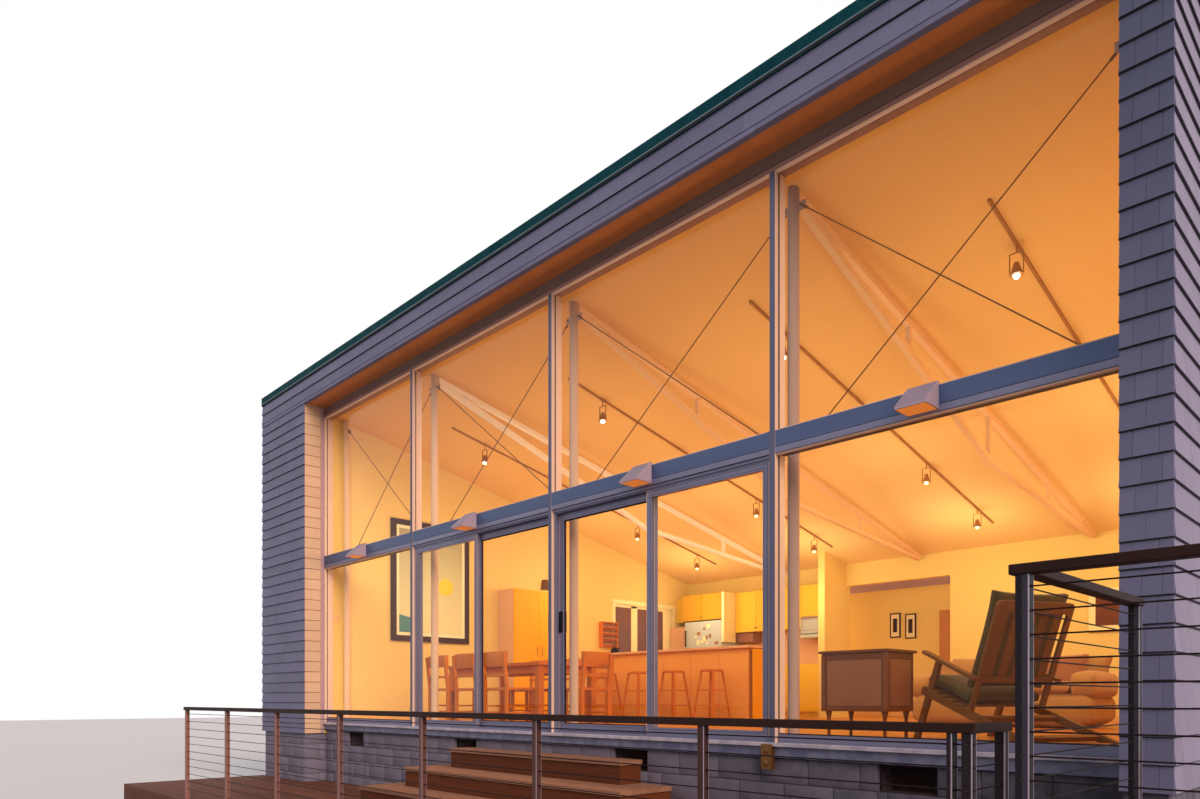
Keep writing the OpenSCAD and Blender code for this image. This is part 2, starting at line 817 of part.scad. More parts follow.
module ceiling_lights() {
  color("whitesmoke") placed() for (i = [0:3]) {
    x = (bay_x[i] + bay_x[i + 1]) / 2 + track_shift[i];
    side_profile(x - track_w / 2, x + track_w / 2) polygon([
      [track_y0, ceiling_z(track_y0)], [track_y1, ceiling_z(track_y1)],
      [track_y1, ceiling_z(track_y1) - track_h], [track_y0, ceiling_z(track_y0) - track_h]]);
    for (n = [0:spot_count - 1]) {
      y = track_y0 + spot_in + n * (track_y1 - track_y0 - 2 * spot_in) / (spot_count - 1);
      translate([x, y, ceiling_z(y) - track_h]) spot();
    }
  }
}

// Deck and steps
module deck_boards() {
  color("tan") placed() {
    block(0, landing_x, deck_y0, 0, deck_z - board_t, deck_z);
    block(open_x0 + 1, open_x1 - 1, 0, glass_y, deck_z - board_t, deck_z);
  }
}

// Beams along the deck at the front, middle and back, with joists between them, on posts
deck_joist_count = 6;
deck_post_w = 90;
beam_y = [deck_y0, (deck_y0 - joist_t) / 2, -joist_t];
function deck_row_x(i) = i * (landing_x - deck_post_w) / (deck_joist_count - 1);

module deck_joists() {
  z1 = deck_z - board_t;
  color("peru") placed() {
    for (y = beam_y) block(0, landing_x, y, y + joist_t, z1 - joist_h, z1);
    for (i = [0:deck_joist_count - 1], n = [0, 1])
      block(deck_row_x(i), deck_row_x(i) + joist_t, beam_y[n] + joist_t + seat_gap,
            beam_y[n + 1] - seat_gap, z1 - joist_h, z1);
  }
}

module deck_posts() {
  color("peru") placed() for (i = [0:deck_joist_count - 1], y = [deck_y0, -deck_post_w])
    block(deck_row_x(i), deck_row_x(i) + deck_post_w, y, y + deck_post_w,
          ground_z, deck_z - board_t - joist_h);
}

top_step_y = 50;

// Step n counts from the top, and each lower step is wider and deeper by one going
module step(n) {
  z1 = -step_rise * (n + 1);
  half = top_step_w / 2 + step_going * n;
  front = top_step_y - step_going * n;
  color("sienna") placed() {
    block(step_x - half, step_x + half, front, glass_y, z1 - board_t, z1);
    block(step_x - half + nosing, step_x + half - nosing, front + nosing, glass_y,
          z1 - step_rise, z1 - board_t);
  }
}

module upper_step() step(0);
module middle_step() step(1);
module lower_step() step(2);

// Rails
rail_y = deck_y0 + rail_in;
rail_z = deck_z + rail_height;
landing_rail_z = landing_z + landing_rail_h;
landing_gap = 2;
rail_end_x = landing_x - rail_gap;
low_posts = round((rail_end_x - rail_start) / post_pitch);
low_post_x = [for (i = [0:low_posts]) rail_start + i * (rail_end_x - rail_start) / low_posts];
low_cables = floor((rail_height - cap_t) / cable_pitch);
landing_cables = floor((landing_rail_h - cap_t) / cable_pitch);
cap_over = 8;
slim_post_w = 20;
slim_post_d = 50;
slim_post_gap = 32;
slim_post_x = rail_end_x - (rail_post + slim_post_w) / 2 - slim_post_gap;
landing_x1 = landing_x + landing_w;
corner_x = landing_x + landing_post_in + landing_post / 2;
landing_end_x = landing_x1 - landing_post_in - landing_post / 2;
landing_end_y = -landing_rail_stop - cap_over - landing_post / 2;

module square_post(x, y, size, z0, z1) {
  block(x - size / 2, x + size / 2, y - size / 2, y + size / 2, z0, z1);
}

module rail_posts() {
  color("dimgray") placed() {
    for (x = low_post_x) square_post(x, rail_y, rail_post, deck_z, rail_z - cap_t);
    square_post(rail_end_x, rail_y + rail_return, rail_post, deck_z, rail_z - cap_t);
    block(slim_post_x - slim_post_w / 2, slim_post_x + slim_post_w / 2, rail_y - slim_post_d / 2,
          rail_y + slim_post_d / 2, deck_z, rail_z - cap_t);
    for (p = [[corner_x, rail_y], [landing_end_x, rail_y], [corner_x, landing_end_y]])
      square_post(p[0], p[1], landing_post, landing_z, landing_rail_z - cap_t);
  }
}

module cap_rails() {
  half = cap_w / 2;
  color("saddlebrown") placed() {
    block(rail_start - half, rail_end_x + half, rail_y - half, rail_y + half, rail_z - cap_t, rail_z);
    block(rail_end_x - half, rail_end_x + half, rail_y,
          rail_y + rail_return + rail_post / 2 + cap_over, rail_z - cap_t, rail_z);
    block(landing_x, landing_x1, rail_y - half, rail_y + half, landing_rail_z - cap_t,
          landing_rail_z);
    block(corner_x - half, corner_x + half, rail_y, -landing_rail_stop, landing_rail_z - cap_t,
          landing_rail_z);
  }
}

module cable_x(x0, x1, y, z) {
  translate([x0, y, z]) rotate([0, 90, 0]) cylinder(h = x1 - x0, d = cable_d, $fn = 8);
}

module cable_y(x, y0, y1, z) {
  translate([x, y0, z]) rotate([-90, 0, 0]) cylinder(h = y1 - y0, d = cable_d, $fn = 8);
}

module rail_cables() {
  color("gray") placed() {
    for (n = [1:low_cables]) {
      z = rail_z - cap_t - n * cable_pitch + cable_pitch / 2;
      for (i = [0:low_posts - 2])
        cable_x(low_post_x[i] + rail_post / 2, low_post_x[i + 1] - rail_post / 2, rail_y, z);
      cable_x(low_post_x[low_posts - 1] + rail_post / 2, slim_post_x - slim_post_w / 2, rail_y, z);
      cable_x(slim_post_x + slim_post_w / 2, rail_end_x - rail_post / 2, rail_y, z);
      cable_y(rail_end_x, rail_y + rail_post / 2, rail_y + rail_return - rail_post / 2, z);
    }
    for (n = [1:landing_cables]) {
      z = landing_rail_z - cap_t - n * cable_pitch + cable_pitch / 2;
      cable_x(corner_x + landing_post / 2, landing_end_x - landing_post / 2, rail_y, z);
      cable_y(corner_x, rail_y + landing_post / 2, landing_end_y - landing_post / 2, z);
    }
  }
}

module landing_deck() {
  color("tan") placed() {
    block(landing_x, landing_x1, deck_y0, -landing_gap, landing_z - board_t, landing_z);
    difference() {
      block(landing_x, landing_x1, deck_y0, -landing_gap, ground_z, landing_z - board_t);
      block(landing_x + joist_t, landing_x1 - joist_t, deck_y0 + joist_t, -joist_t - landing_gap,
            ground_z - 1, landing_z - board_t - joist_h);
    }
  }
}

// Furniture
bar_top_t = 40;
bar_lap = 60;

module bar_counter() {
  color("sandybrown") placed() {
    block(open_x0, open_x0 + bar_len - bar_lap, bar_y, bar_y + bar_depth - bar_lap,
          0, bar_h - bar_top_t);
    block(open_x0, open_x0 + bar_len, bar_y - bar_lap, bar_y + bar_depth, bar_h - bar_top_t, bar_h);
  }
}

stool_x0 = open_x0 + 800;
stool_pitch = 756;
stool_y = bar_y - 400;
stool_seat_r = 165;
stool_seat_t = 30;
stool_foot = 200;
stool_head = 110;
stool_leg_w = 28;
rung_w = 18;
rung_z = [220, 450];

module stool(x, y) {
  half = stool_leg_w / 2;
  leg_h = stool_h - stool_seat_t / 2;
  lean = (stool_foot - stool_head) / leg_h;
  translate([x, y, 0]) {
    translate([0, 0, stool_h - stool_seat_t]) cylinder(h = stool_seat_t, r = stool_seat_r);
    for (sx = [-1, 1], sy = [-1, 1])
      multmatrix([[1, 0, -sx * lean, sx * stool_foot], [0, 1, -sy * lean, sy * stool_foot],
        [0, 0, 1, 0], [0, 0, 0, 1]]) block(-half, half, -half, half, 0, leg_h);
    for (z = rung_z, s = [-1, 1]) {
      reach = stool_foot - lean * z;
      edge = rung_w / 2;
      block(-reach, reach, s * reach - edge, s * reach + edge, z - edge, z + edge);
      block(s * reach - edge, s * reach + edge, -reach, reach, z - edge, z + edge);
    }
  }
}

module bar_stools() {
  color("peru") placed() for (i = [0:stool_count - 1]) stool(stool_x0 + i * stool_pitch, stool_y);
}

// Kitchen along the inner partition: refrigerator, worktop, wall cabinets and a hung microwave
kitchen_gap = 4;
fridge_x0 = open_x0 + 500;
fridge_w = 880;
fridge_d = 700;
worktop_d = 620;
worktop_t = 40;
worktop_lap = 20;
upper_cab_z = 1550;
upper_cab_top = ceiling_z(partition_y) - 333;
upper_cab_d = 350;
fridge_cab_gap = 50;
microwave_w = 540;
microwave_h = 290;
microwave_d = 380;
microwave_z = 1450;

module kitchen_cabinets() {
  x0 = fridge_x0 + fridge_w + kitchen_gap;
  x1 = kitchen_x1 - kitchen_gap;
  x2 = x1 - microwave_w - 2 * kitchen_gap;
  color("goldenrod") placed() {
    block(x0, x1, partition_y - worktop_d, partition_y, 0, worktop_h - worktop_t);
    block(x0, x1, partition_y - worktop_d - worktop_lap, partition_y, worktop_h - worktop_t, worktop_h);
    block(x0, x2, partition_y - upper_cab_d, partition_y, upper_cab_z, upper_cab_top);
    block(x2, x1, partition_y - upper_cab_d, partition_y, microwave_z + microwave_h + seat_gap,
          upper_cab_top);
    block(open_x0, x0, partition_y - upper_cab_d, partition_y, fridge_h + fridge_cab_gap,
          upper_cab_top);
  }
}

module kitchen_appliances() {
  x1 = kitchen_x1 - 2 * kitchen_gap;
  color("white") placed() {
    block(fridge_x0, fridge_x0 + fridge_w, partition_y - fridge_d, partition_y, 0, fridge_h);
    block(x1 - microwave_w, x1, partition_y - microwave_d, partition_y, microwave_z,
          microwave_z + microwave_h);
  }
}

// The cabinet against the room's side wall, and the one that shows in the hall
tall_cabinet_y = 3240;
tall_cabinet_w = 860;
tall_cabinet_d = 400;
hall_cabinet_in = 610;
hall_cabinet_d = 450;
hall_cabinet_h = 1820;

module tall_cabinets() {
  hall_cabinet_y = house_depth - wall_t;
  color("goldenrod") placed() {
    block(open_x0, open_x0 + tall_cabinet_d, tall_cabinet_y, tall_cabinet_y + tall_cabinet_w,
          0, tall_cabinet_h);
    block(hall_x1 - hall_cabinet_in, hall_x1 - hall_cabinet_in + tall_cabinet_w,
          hall_cabinet_y - hall_cabinet_d, hall_cabinet_y, 0, hall_cabinet_h);
  }
}

table_x = open_x0 + 1550;
table_y = 1250;
table_top_t = 40;
table_apron = 90;
table_leg_w = 80;
table_inset = 20;

module dining_table() {
  near = table_inset;
  far_x = table_len - table_leg_w - table_inset;
  far_y = table_w - table_leg_w - table_inset;
  middle = table_inset + table_leg_w / 2;
  color("peru") placed() translate([table_x, table_y, 0]) {
    block(0, table_len, 0, table_w, table_h - table_top_t, table_h);
    block(middle, table_len - middle, middle, table_w - middle,
          table_h - table_top_t - table_apron, table_h - table_top_t);
    for (x = [near, far_x], y = [near, far_y])
      block(x, x + table_leg_w, y, y + table_leg_w, 0, table_h - table_top_t);
  }
}

// A chair whose seat faces +y: raked back posts, a bowed top rail and a thin rail under it
chair_w = 440;
chair_d = 430;
chair_leg_w = 34;
chair_rake = 45;
chair_bow_r = 620;
chair_bow = 35;
chair_rail_t = 22;
chair_rail_h = 150;
chair_low_rail = 285;
chair_low_rail_h = 30;
chair_seat_t = 30;

// A rail across the back, bowed to the rear, between two heights
module bowed_rail(z0, z1) {
  rake = chair_rake * (z0 - chair_seat_h) / (chair_h - chair_seat_h);
  translate([0, -chair_d / 2 - rake - chair_bow + chair_leg_w / 2 + chair_bow_r, z0]) intersection() {
    difference() {
      cylinder(h = z1 - z0, r = chair_bow_r, $fn = 64);
      translate([0, 0, -1]) cylinder(h = z1 - z0 + 2, r = chair_bow_r - chair_rail_t, $fn = 64);
    }
    block(-chair_w / 2, chair_w / 2, -chair_bow_r - 1, -chair_bow_r / 2, 0, z1 - z0);
  }
}

module chair(x, y, turn) {
  half_w = chair_w / 2;
  half_d = chair_d / 2;
  stretcher = 18;
  translate([x, y, 0]) rotate(turn) {
    for (side = [-half_w, half_w - chair_leg_w]) {
      side_profile(side, side + chair_leg_w) polygon([
        [-half_d, 0], [-half_d + chair_leg_w, 0], [-half_d + chair_leg_w, chair_seat_h],
        [-half_d - chair_rake + chair_leg_w, chair_h - stretcher],
        [-half_d - chair_rake, chair_h - stretcher], [-half_d, chair_seat_h]]);
      block(side, side + chair_leg_w, half_d - chair_leg_w, half_d, 0, chair_seat_h - chair_seat_t / 2);
      for (z = [chair_seat_h / 3, chair_seat_h / 2])
        block(side + stretcher / 2, side + chair_leg_w - stretcher / 2, -half_d + chair_leg_w / 2,
              half_d - chair_leg_w / 2, z, z + stretcher);
    }
    block(-half_w, half_w, -half_d + stretcher / 2, half_d + stretcher / 2,
          chair_seat_h - chair_seat_t, chair_seat_h);
    bowed_rail(chair_h - chair_rail_h, chair_h);
    bowed_rail(chair_h - chair_low_rail, chair_h - chair_low_rail + chair_low_rail_h);
  }
}

chair_pitch = 600;
chair_in = 350;
chair_out = 150;
end_chair_out = 250;

module dining_chairs() {
  color("peru") placed() {
    for (i = [0:2]) {
      chair(table_x + chair_in + i * chair_pitch, table_y - chair_out, 0);
      chair(table_x + chair_in + i * chair_pitch, table_y + table_w + chair_out, 180);
    }
    chair(table_x + table_len + end_chair_out, table_y + table_w / 2, 90);
  }
}

// The sideboard on four turned legs
sideboard_in = 2380;
sideboard_x = open_x1 - sideboard_in;
sideboard_y = 1100;
sideboard_w = 560;
sideboard_d = 430;
sideboard_foot_h = 220;
sideboard_top_t = 20;
sideboard_lap = 20;
turned_leg_in = 40;

module turned_leg() {
  neck_d = 26;
  ball_d = 46;
  cylinder(h = sideboard_foot_h, d = neck_d);
  translate([0, 0, 0.45 * sideboard_foot_h]) sphere(d = ball_d);
  translate([0, 0, 0.7 * sideboard_foot_h])
    cylinder(h = 0.3 * sideboard_foot_h, d1 = neck_d, d2 = 2 * neck_d);
}

module sideboard() {
  color("saddlebrown") placed() translate([sideboard_x, sideboard_y, 0]) {
    block(0, sideboard_w, 0, sideboard_d, sideboard_foot_h, sideboard_h - sideboard_top_t);
    block(-sideboard_lap, sideboard_w + sideboard_lap, -sideboard_lap, sideboard_d + sideboard_lap,
          sideboard_h - sideboard_top_t, sideboard_h);
    for (x = [turned_leg_in, sideboard_w - turned_leg_in],
         y = [turned_leg_in, sideboard_d - turned_leg_in]) translate([x, y, 0]) turned_leg();
  }
}

// The lounge chair's side frames: a long rail down to the rear foot, a leg that crosses it, an arm
lounge_x = open_x1 - 1330;
lounge_y = 1490;
lounge_turn = 64;
lounge_side_t = 30;
lounge_rail_d = 60;
lounge_rear = 640;
lounge_front = 500;
lounge_seat_z = 246;
lounge_seat_y = 100;
lounge_back_t = 24;
lounge_slat_t = 14;
lounge_slats = 5;
lounge_slat_w = 62;
lounge_leg_d = 52;
lounge_arm_t = 26;
lounge_arm_out = 25;
stretcher_w = 45;
cushion_t = 110;

module lounge_placed() {
  placed() translate([lounge_x, lounge_y, 0]) rotate(lounge_turn) children();
}

// The seat and the back stand square to each other, tilted together
module lounge_tilted() {
  translate([0, lounge_seat_y, lounge_seat_z]) rotate([lounge_tilt, 0, 0]) children();
}

// A bar from p to q, points (y, z) of a side frame
module side_bar(x0, x1, p, q, depth) {
  side = [p[1] - q[1], q[0] - p[0]] / norm(q - p) * depth / 2;
  side_profile(x0, x1) polygon([p - side, q - side, q + side, p + side]);
}

// Uprights, a low rail and a top rail with round corners, and slats in front of them
module lounge_back_frame() {
  rail_h = 85;
  low_rail = 215;
  corner = 40;
  inner_w = lounge_w - 2 * lounge_side_t;
  upright = 44;
  pitch = (inner_w - 2 * upright) / lounge_slats;
  back_slat_w = 76;
  translate([lounge_side_t, 0, 0]) rotate([90, 0, 0]) {
    linear_extrude(lounge_back_t) {
      for (x = [0, inner_w - upright]) translate([x, -lounge_rail_d / 2])
        square([upright, lounge_back + lounge_rail_d / 2 - corner]);
      translate([0, low_rail]) square([inner_w, rail_h / 2]);
      translate([0, lounge_back - rail_h]) square([inner_w, rail_h - corner]);
      translate([corner, lounge_back - rail_h]) square([inner_w - 2 * corner, rail_h]);
      for (x = [corner, inner_w - corner]) translate([x, lounge_back - corner]) circle(corner);
    }
    translate([0, 0, -lounge_slat_t]) linear_extrude(lounge_slat_t)
      for (n = [0:lounge_slats - 1])
        translate([upright + (n + 0.5) * pitch - back_slat_w / 2, low_rail + rail_h / 16])
          square([back_slat_w, lounge_back - low_rail - rail_h / 3]);
  }
}

module lounge_side(x, out_left, out_right) {
  leg_foot = [670, -40];
  arm_back = [-30, 460];
  arm_front = [545, 700];
  leg_top = arm_back + (arm_front - arm_back) * 0.72;
  side_bar(x, x + lounge_side_t, leg_foot, leg_top, lounge_leg_d);
  side_bar(x - out_left, x + lounge_side_t + out_right, arm_back, arm_front, lounge_arm_t);
  lounge_tilted() block(x, x + lounge_side_t, -lounge_rear - 2 * lounge_leg_d, lounge_front,
                        -lounge_rail_d, 0);
}

module lounge_chair() {
  tuck = 5;
  slat_y = 30;
  slat_pitch = 99;
  stretcher_y = [-560, -170];
  stretcher_in = 12;
  color("saddlebrown") lounge_placed() difference() {
    union() {
      lounge_side(0, lounge_arm_out, 0);
      lounge_side(lounge_w - lounge_side_t, 0, lounge_arm_out);
      lounge_tilted() {
        for (n = [0:lounge_slats - 1])
          block(0, lounge_w, slat_y + n * slat_pitch, slat_y + n * slat_pitch + lounge_slat_w,
                0, lounge_slat_t);
        for (y = stretcher_y)
          block(lounge_side_t - tuck, lounge_w - lounge_side_t + tuck, y, y + stretcher_w,
                stretcher_in - lounge_rail_d, -stretcher_in);
        lounge_back_frame();
      }
    }
    block(-lounge_w, 2 * lounge_w, -2 * lounge_rear, 2 * lounge_rear, -lounge_rear, 0);
  }
}

module lounge_cushions() {
  fit = 4;
  out = 20;
  over = 75;
  side = lounge_side_t + fit;
  rest = lounge_slat_t + seat_gap;
  color("darkolivegreen") lounge_placed() lounge_tilted() {
    block(side, lounge_w - side, out, lounge_front + out, rest, rest + cushion_t);
    block(side, lounge_w - side, rest, rest + cushion_t, rest + cushion_t + fit, lounge_back + over);
  }
}

sofa_in = 3450;
sofa_x = open_x1 - sofa_in;
sofa_y = 4850;
sofa_arm_w = 230;
sofa_arm_h = 620;
sofa_back_t = 240;
sofa_h = 800;

module sofa() {
  color("peru") placed() translate([sofa_x, sofa_y, 0]) {
    block(0, sofa_len, 0, sofa_depth, 0, sofa_seat_h);
    block(0, sofa_len, sofa_depth - sofa_back_t, sofa_depth, sofa_seat_h, sofa_h);
    for (x = [0, sofa_len - sofa_arm_w])
      block(x, x + sofa_arm_w, 0, sofa_depth - sofa_back_t, sofa_seat_h, sofa_arm_h);
  }
}

// A framed picture, flat on a wall: its face is set back inside the frame
picture_t = 25;
frame_w = 24;
picture_depth = 10;

module framed_picture(w, h) {
  difference() {
    block(0, w, -picture_t, 0, 0, h);
    block(frame_w, w - frame_w, -picture_t - 1, picture_depth - picture_t, frame_w, h - frame_w);
  }
}

poster_y = 1300;
poster_w = 1350;
poster_z = 1180;
poster_h = 1780;
hall_picture_w = 200;
hall_picture_h = 450;
hall_picture_in = [[65, 1430], [355, 1400]];
room_picture_in = 2360;
room_picture_x = open_x1 - room_picture_in;
room_picture_w = 380;
room_picture_z = 1240;
room_picture_h = 510;

module picture_frames() {
  color("black") placed() {
    translate([open_x0, poster_y, poster_z]) rotate(90) framed_picture(poster_w, poster_h);
    for (p = hall_picture_in) translate([hall_x0 + p[0], house_depth - wall_t, p[1]])
      framed_picture(hall_picture_w, hall_picture_h);
    translate([room_picture_x, partition_y, room_picture_z])
      framed_picture(room_picture_w, room_picture_h);
  }
}

foundation_front();
foundation_wing();
foundation_sides();
foundation_back();
floor_platform();
trim_boards();
window_sill();
wing_wall();
left_wall();
right_wall();
back_wall();
room_side_wall();
room_partition();
front_fascia();
soffit();
roof_deck();
roof_sheet();
roof_edge();
mullions();
transoms();
window_head();
sill_rails();
upper_glass();
lower_glass();
side_window();
door_frames();
fixed_panels();
left_door_sash();
left_door_glass();
left_door_handle();
right_door_sash();
right_door_glass();
right_door_handle();
steel_columns();
cross_braces();
roof_trusses();
wall_lights();
ceiling_lights();
deck_boards();
deck_joists();
deck_posts();
lower_step();
middle_step();
upper_step();
rail_posts();
cap_rails();
rail_cables();
landing_deck();
bar_counter();
bar_stools();
kitchen_cabinets();
kitchen_appliances();
tall_cabinets();
dining_table();
dining_chairs();
sideboard();
lounge_chair();
lounge_cushions();
sofa();
picture_frames();
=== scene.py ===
import math
import random

import bmesh
import bpy
import numpy as np
from mathutils import Matrix, Vector


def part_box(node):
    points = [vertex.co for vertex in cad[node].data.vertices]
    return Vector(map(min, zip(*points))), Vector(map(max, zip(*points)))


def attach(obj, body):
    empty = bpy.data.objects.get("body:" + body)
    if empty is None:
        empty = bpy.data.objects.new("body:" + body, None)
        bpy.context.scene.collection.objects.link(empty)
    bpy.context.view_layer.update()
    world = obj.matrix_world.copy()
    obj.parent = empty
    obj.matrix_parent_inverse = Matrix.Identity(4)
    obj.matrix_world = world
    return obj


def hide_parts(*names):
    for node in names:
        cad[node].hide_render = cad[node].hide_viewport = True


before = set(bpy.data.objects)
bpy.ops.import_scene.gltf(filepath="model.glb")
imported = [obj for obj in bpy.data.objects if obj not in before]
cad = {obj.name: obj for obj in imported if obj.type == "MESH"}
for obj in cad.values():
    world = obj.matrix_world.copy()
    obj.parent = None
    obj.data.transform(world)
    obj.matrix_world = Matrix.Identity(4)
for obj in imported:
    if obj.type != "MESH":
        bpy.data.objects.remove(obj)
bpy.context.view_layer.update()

# House coordinates, in metres: x from the left corner, y back from the front wall, z up from the floor
corner = Vector((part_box("wing_wall")[0].x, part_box("wing_wall")[0].y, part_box("floor_platform")[1].z))


def span(name):
    low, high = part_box(name)
    return low - corner, high - corner


houseWidth, houseDepth = span("right_wall")[1].x, span("right_wall")[1].y
openLeft, frameFront, headZ = span("window_head")[0]
openRight, frameBack, headTop = span("window_head")[1]
glassY = span("foundation_front")[0].y
soffitZ = span("soffit")[0].z
groundZ = span("foundation_sides")[0].z
skirtZ = span("right_wall")[0].z
deckZ = span("deck_boards")[1].z
deckFront = span("deck_boards")[0].y
landingX, landingEnd = span("landing_deck")[0].x, span("landing_deck")[1].x
landingZ = span("landing_deck")[1].z
partitionY = span("room_partition")[1].y - 0.12
roofEdgeLow, roofEdgeHigh = span("roof_edge")
eaveY = roofEdgeHigh.y - 0.02
roofTrim = 0.121  # height of the green edge
roofFall = (roofEdgeHigh.z - roofEdgeLow.z - roofTrim) / eaveY
transomLow, transomHigh = span("transoms")[0].z, span("transoms")[1].z
mullionPitch = (span("mullions")[1].x - span("mullions")[0].x - 0.05) / 2
columnPitch = 2.49
middleX = (openLeft + openRight) / 2
bayX = [openLeft, middleX - mullionPitch, middleX, middleX + mullionPitch, openRight]


def roofZ(y):
    return roofEdgeHigh.z - roofFall * y


def ceilingZ(y):
    return roofZ(y) - 0.439


def solidBoxes(name):  # the box of each separate solid of a node, in house coordinates, from left to right
    work = bmesh.new()
    work.from_mesh(cad[name].data)
    bmesh.ops.remove_doubles(work, verts=work.verts, dist=0.00005)
    left, found = set(work.verts), []
    while left:
        queue = [left.pop()]
        group = []
        while queue:
            point = queue.pop()
            group.append(point.co.copy())
            near = {edge.other_vert(point) for edge in point.link_edges} & left
            left -= near
            queue += near
        low = Vector(min(p[i] for p in group) for i in range(3)) - corner
        found.append((low, Vector(max(p[i] for p in group) for i in range(3)) - corner))
    work.free()
    return sorted(found, key=lambda box: (round(box[0].x, 3), round(box[0].y, 3), round(box[0].z, 3)))


print("frame loaded")


def tint(code, alpha=1.0):  # "rrggbb" as the eye sees it, turned into linear light
    parts = [int(code[i : i + 2], 16) / 255 for i in (0, 2, 4)]
    return tuple(p / 12.92 if p <= 0.04045 else ((p + 0.055) / 1.055) ** 2.4 for p in parts) + (alpha,)


def put(tree, kind, inputs=None, **settings):  # a node with its settings, and a link or a value in each input
    node = tree.nodes.new("ShaderNode" + kind)
    for key, value in settings.items():
        setattr(node, key, value)
    for key, value in (inputs or {}).items():
        if isinstance(value, bpy.types.NodeSocket):
            tree.links.new(value, node.inputs[key])
        else:
            node.inputs[key].default_value = value
    return node


def newGroup(name, inputs, outputs):
    group = bpy.data.node_groups.new(name, "ShaderNodeTree")
    for label, kind, value in inputs:
        made = group.interface.new_socket(name=label, in_out="INPUT", socket_type="NodeSocket" + kind)
        if value is not None:
            made.default_value = value
    for label, kind in outputs:
        group.interface.new_socket(name=label, in_out="OUTPUT", socket_type="NodeSocket" + kind)
    return group, group.nodes.new("NodeGroupInput").outputs, group.nodes.new("NodeGroupOutput").inputs


def mixColour(tree, factor, a, b):
    return put(tree, "Mix", {0: factor, 6: a, 7: b}, data_type="RGBA").outputs[2]


def maths(tree, operation, *values):
    return put(tree, "Math", dict(enumerate(values)), operation=operation).outputs[0]


def toned(tree, colour, given):  # each board or shingle a little lighter or darker
    away = maths(tree, "MULTIPLY", maths(tree, "SUBTRACT", given["Tone"], 0.5), given["Tone Spread"])
    return put(tree, "VectorMath", {0: colour, "Scale": maths(tree, "ADD", 1.0, away)}, operation="SCALE").outputs[0]


# Blotches and board-to-board tone, shared by everything painted or weathered, and the painted shade under shingle butts
def makeWeatherGroup():
    group, given, result = newGroup(
        "weather",
        [("Vector", "Vector", None), ("Color", "Color", None), ("Stain", "Color", None), ("Tone", "Float", 0.5),
         ("Seam", "Color", None), ("Scale", "Float", 3.0), ("Amount", "Float", 0.3), ("Tone Spread", "Float", 0.2)],
        [("Color", "Color"), ("Value", "Float")])
    broad = put(group, "TexNoise",
                {"Vector": given["Vector"], "Scale": given["Scale"], "Detail": 5.0, "Roughness": 0.6})
    fine = put(group, "TexNoise", {"Vector": given["Vector"], "Scale": maths(group, "MULTIPLY", given["Scale"], 13.0),
                                   "Detail": 4.0})
    value = maths(group, "ADD", maths(group, "MULTIPLY", broad.outputs["Fac"], 0.7),
                  maths(group, "MULTIPLY", fine.outputs["Fac"], 0.3))
    spread = put(group, "MapRange", {"Value": value, "From Min": 0.35, "From Max": 0.68}).outputs[0]
    stained = mixColour(group, maths(group, "MULTIPLY", spread, given["Amount"]), given["Color"], given["Stain"])
    seam = maths(group, "LESS_THAN", given["Tone"], -0.5)  # painted shade: the dark strips under the course butts carry a tone of -1
    group.links.new(mixColour(group, seam, toned(group, stained, given), given["Seam"]), result["Color"])
    group.links.new(spread, result["Value"])
    return group


# Growth rings and fibres, long in one direction
def makeGrainGroup():
    group, given, result = newGroup(
        "wood grain",
        [("Vector", "Vector", None), ("Light", "Color", None), ("Dark", "Color", None), ("Tone", "Float", 0.5),
         ("Scale", "Float", 8.0), ("Contrast", "Float", 0.6), ("Tone Spread", "Float", 0.35)],
        [("Color", "Color"), ("Height", "Float")])
    shift = put(group, "CombineXYZ", {0: maths(group, "MULTIPLY", given["Tone"], 37.0),
                                      1: maths(group, "MULTIPLY", given["Tone"], 19.0), 2: 0.0})
    spot = put(group, "VectorMath", {0: given["Vector"], 1: shift.outputs[0]}, operation="ADD").outputs[0]
    rings = put(group, "TexNoise", {"Vector": spot, "Scale": given["Scale"], "Detail": 3.0, "Distortion": 1.2})
    fibres = put(group, "TexNoise", {"Vector": spot, "Scale": maths(group, "MULTIPLY", given["Scale"], 9.0),
                                     "Detail": 6.0, "Roughness": 0.7})
    bands = maths(group, "FRACT", maths(group, "MULTIPLY", rings.outputs["Fac"], 6.0))
    value = maths(group, "ADD", maths(group, "MULTIPLY", bands, 0.45),
                  maths(group, "MULTIPLY", fibres.outputs["Fac"], 0.6))
    colour = mixColour(group, maths(group, "MULTIPLY", value, given["Contrast"]), given["Light"], given["Dark"])
    group.links.new(toned(group, colour, given), result["Color"])
    group.links.new(value, result["Height"])
    return group


# Warp and weft of a cloth
def makeWeaveGroup():
    group, given, result = newGroup(
        "weave",
        [("Vector", "Vector", None), ("Color", "Color", None), ("Shade", "Color", None), ("Scale", "Float", 260.0)],
        [("Color", "Color"), ("Height", "Float")])
    threads = [put(group, "TexWave", {"Vector": given["Vector"], "Scale": given["Scale"], "Distortion": 0.6},
                   bands_direction=axis).outputs["Fac"] for axis in "XYZ"]
    height = maths(group, "MULTIPLY", maths(group, "ADD", threads[0], threads[1]), maths(group, "ADD", threads[2], 0.4))
    patches = put(group, "TexNoise", {"Vector": given["Vector"], "Scale": 7.0, "Detail": 5.0}).outputs["Fac"]
    shadeBy = maths(group, "ADD", maths(group, "MULTIPLY", height, 0.25), maths(group, "MULTIPLY", patches, 0.5))
    group.links.new(mixColour(group, shadeBy, given["Color"], given["Shade"]), result["Color"])
    group.links.new(height, result["Height"])
    return group


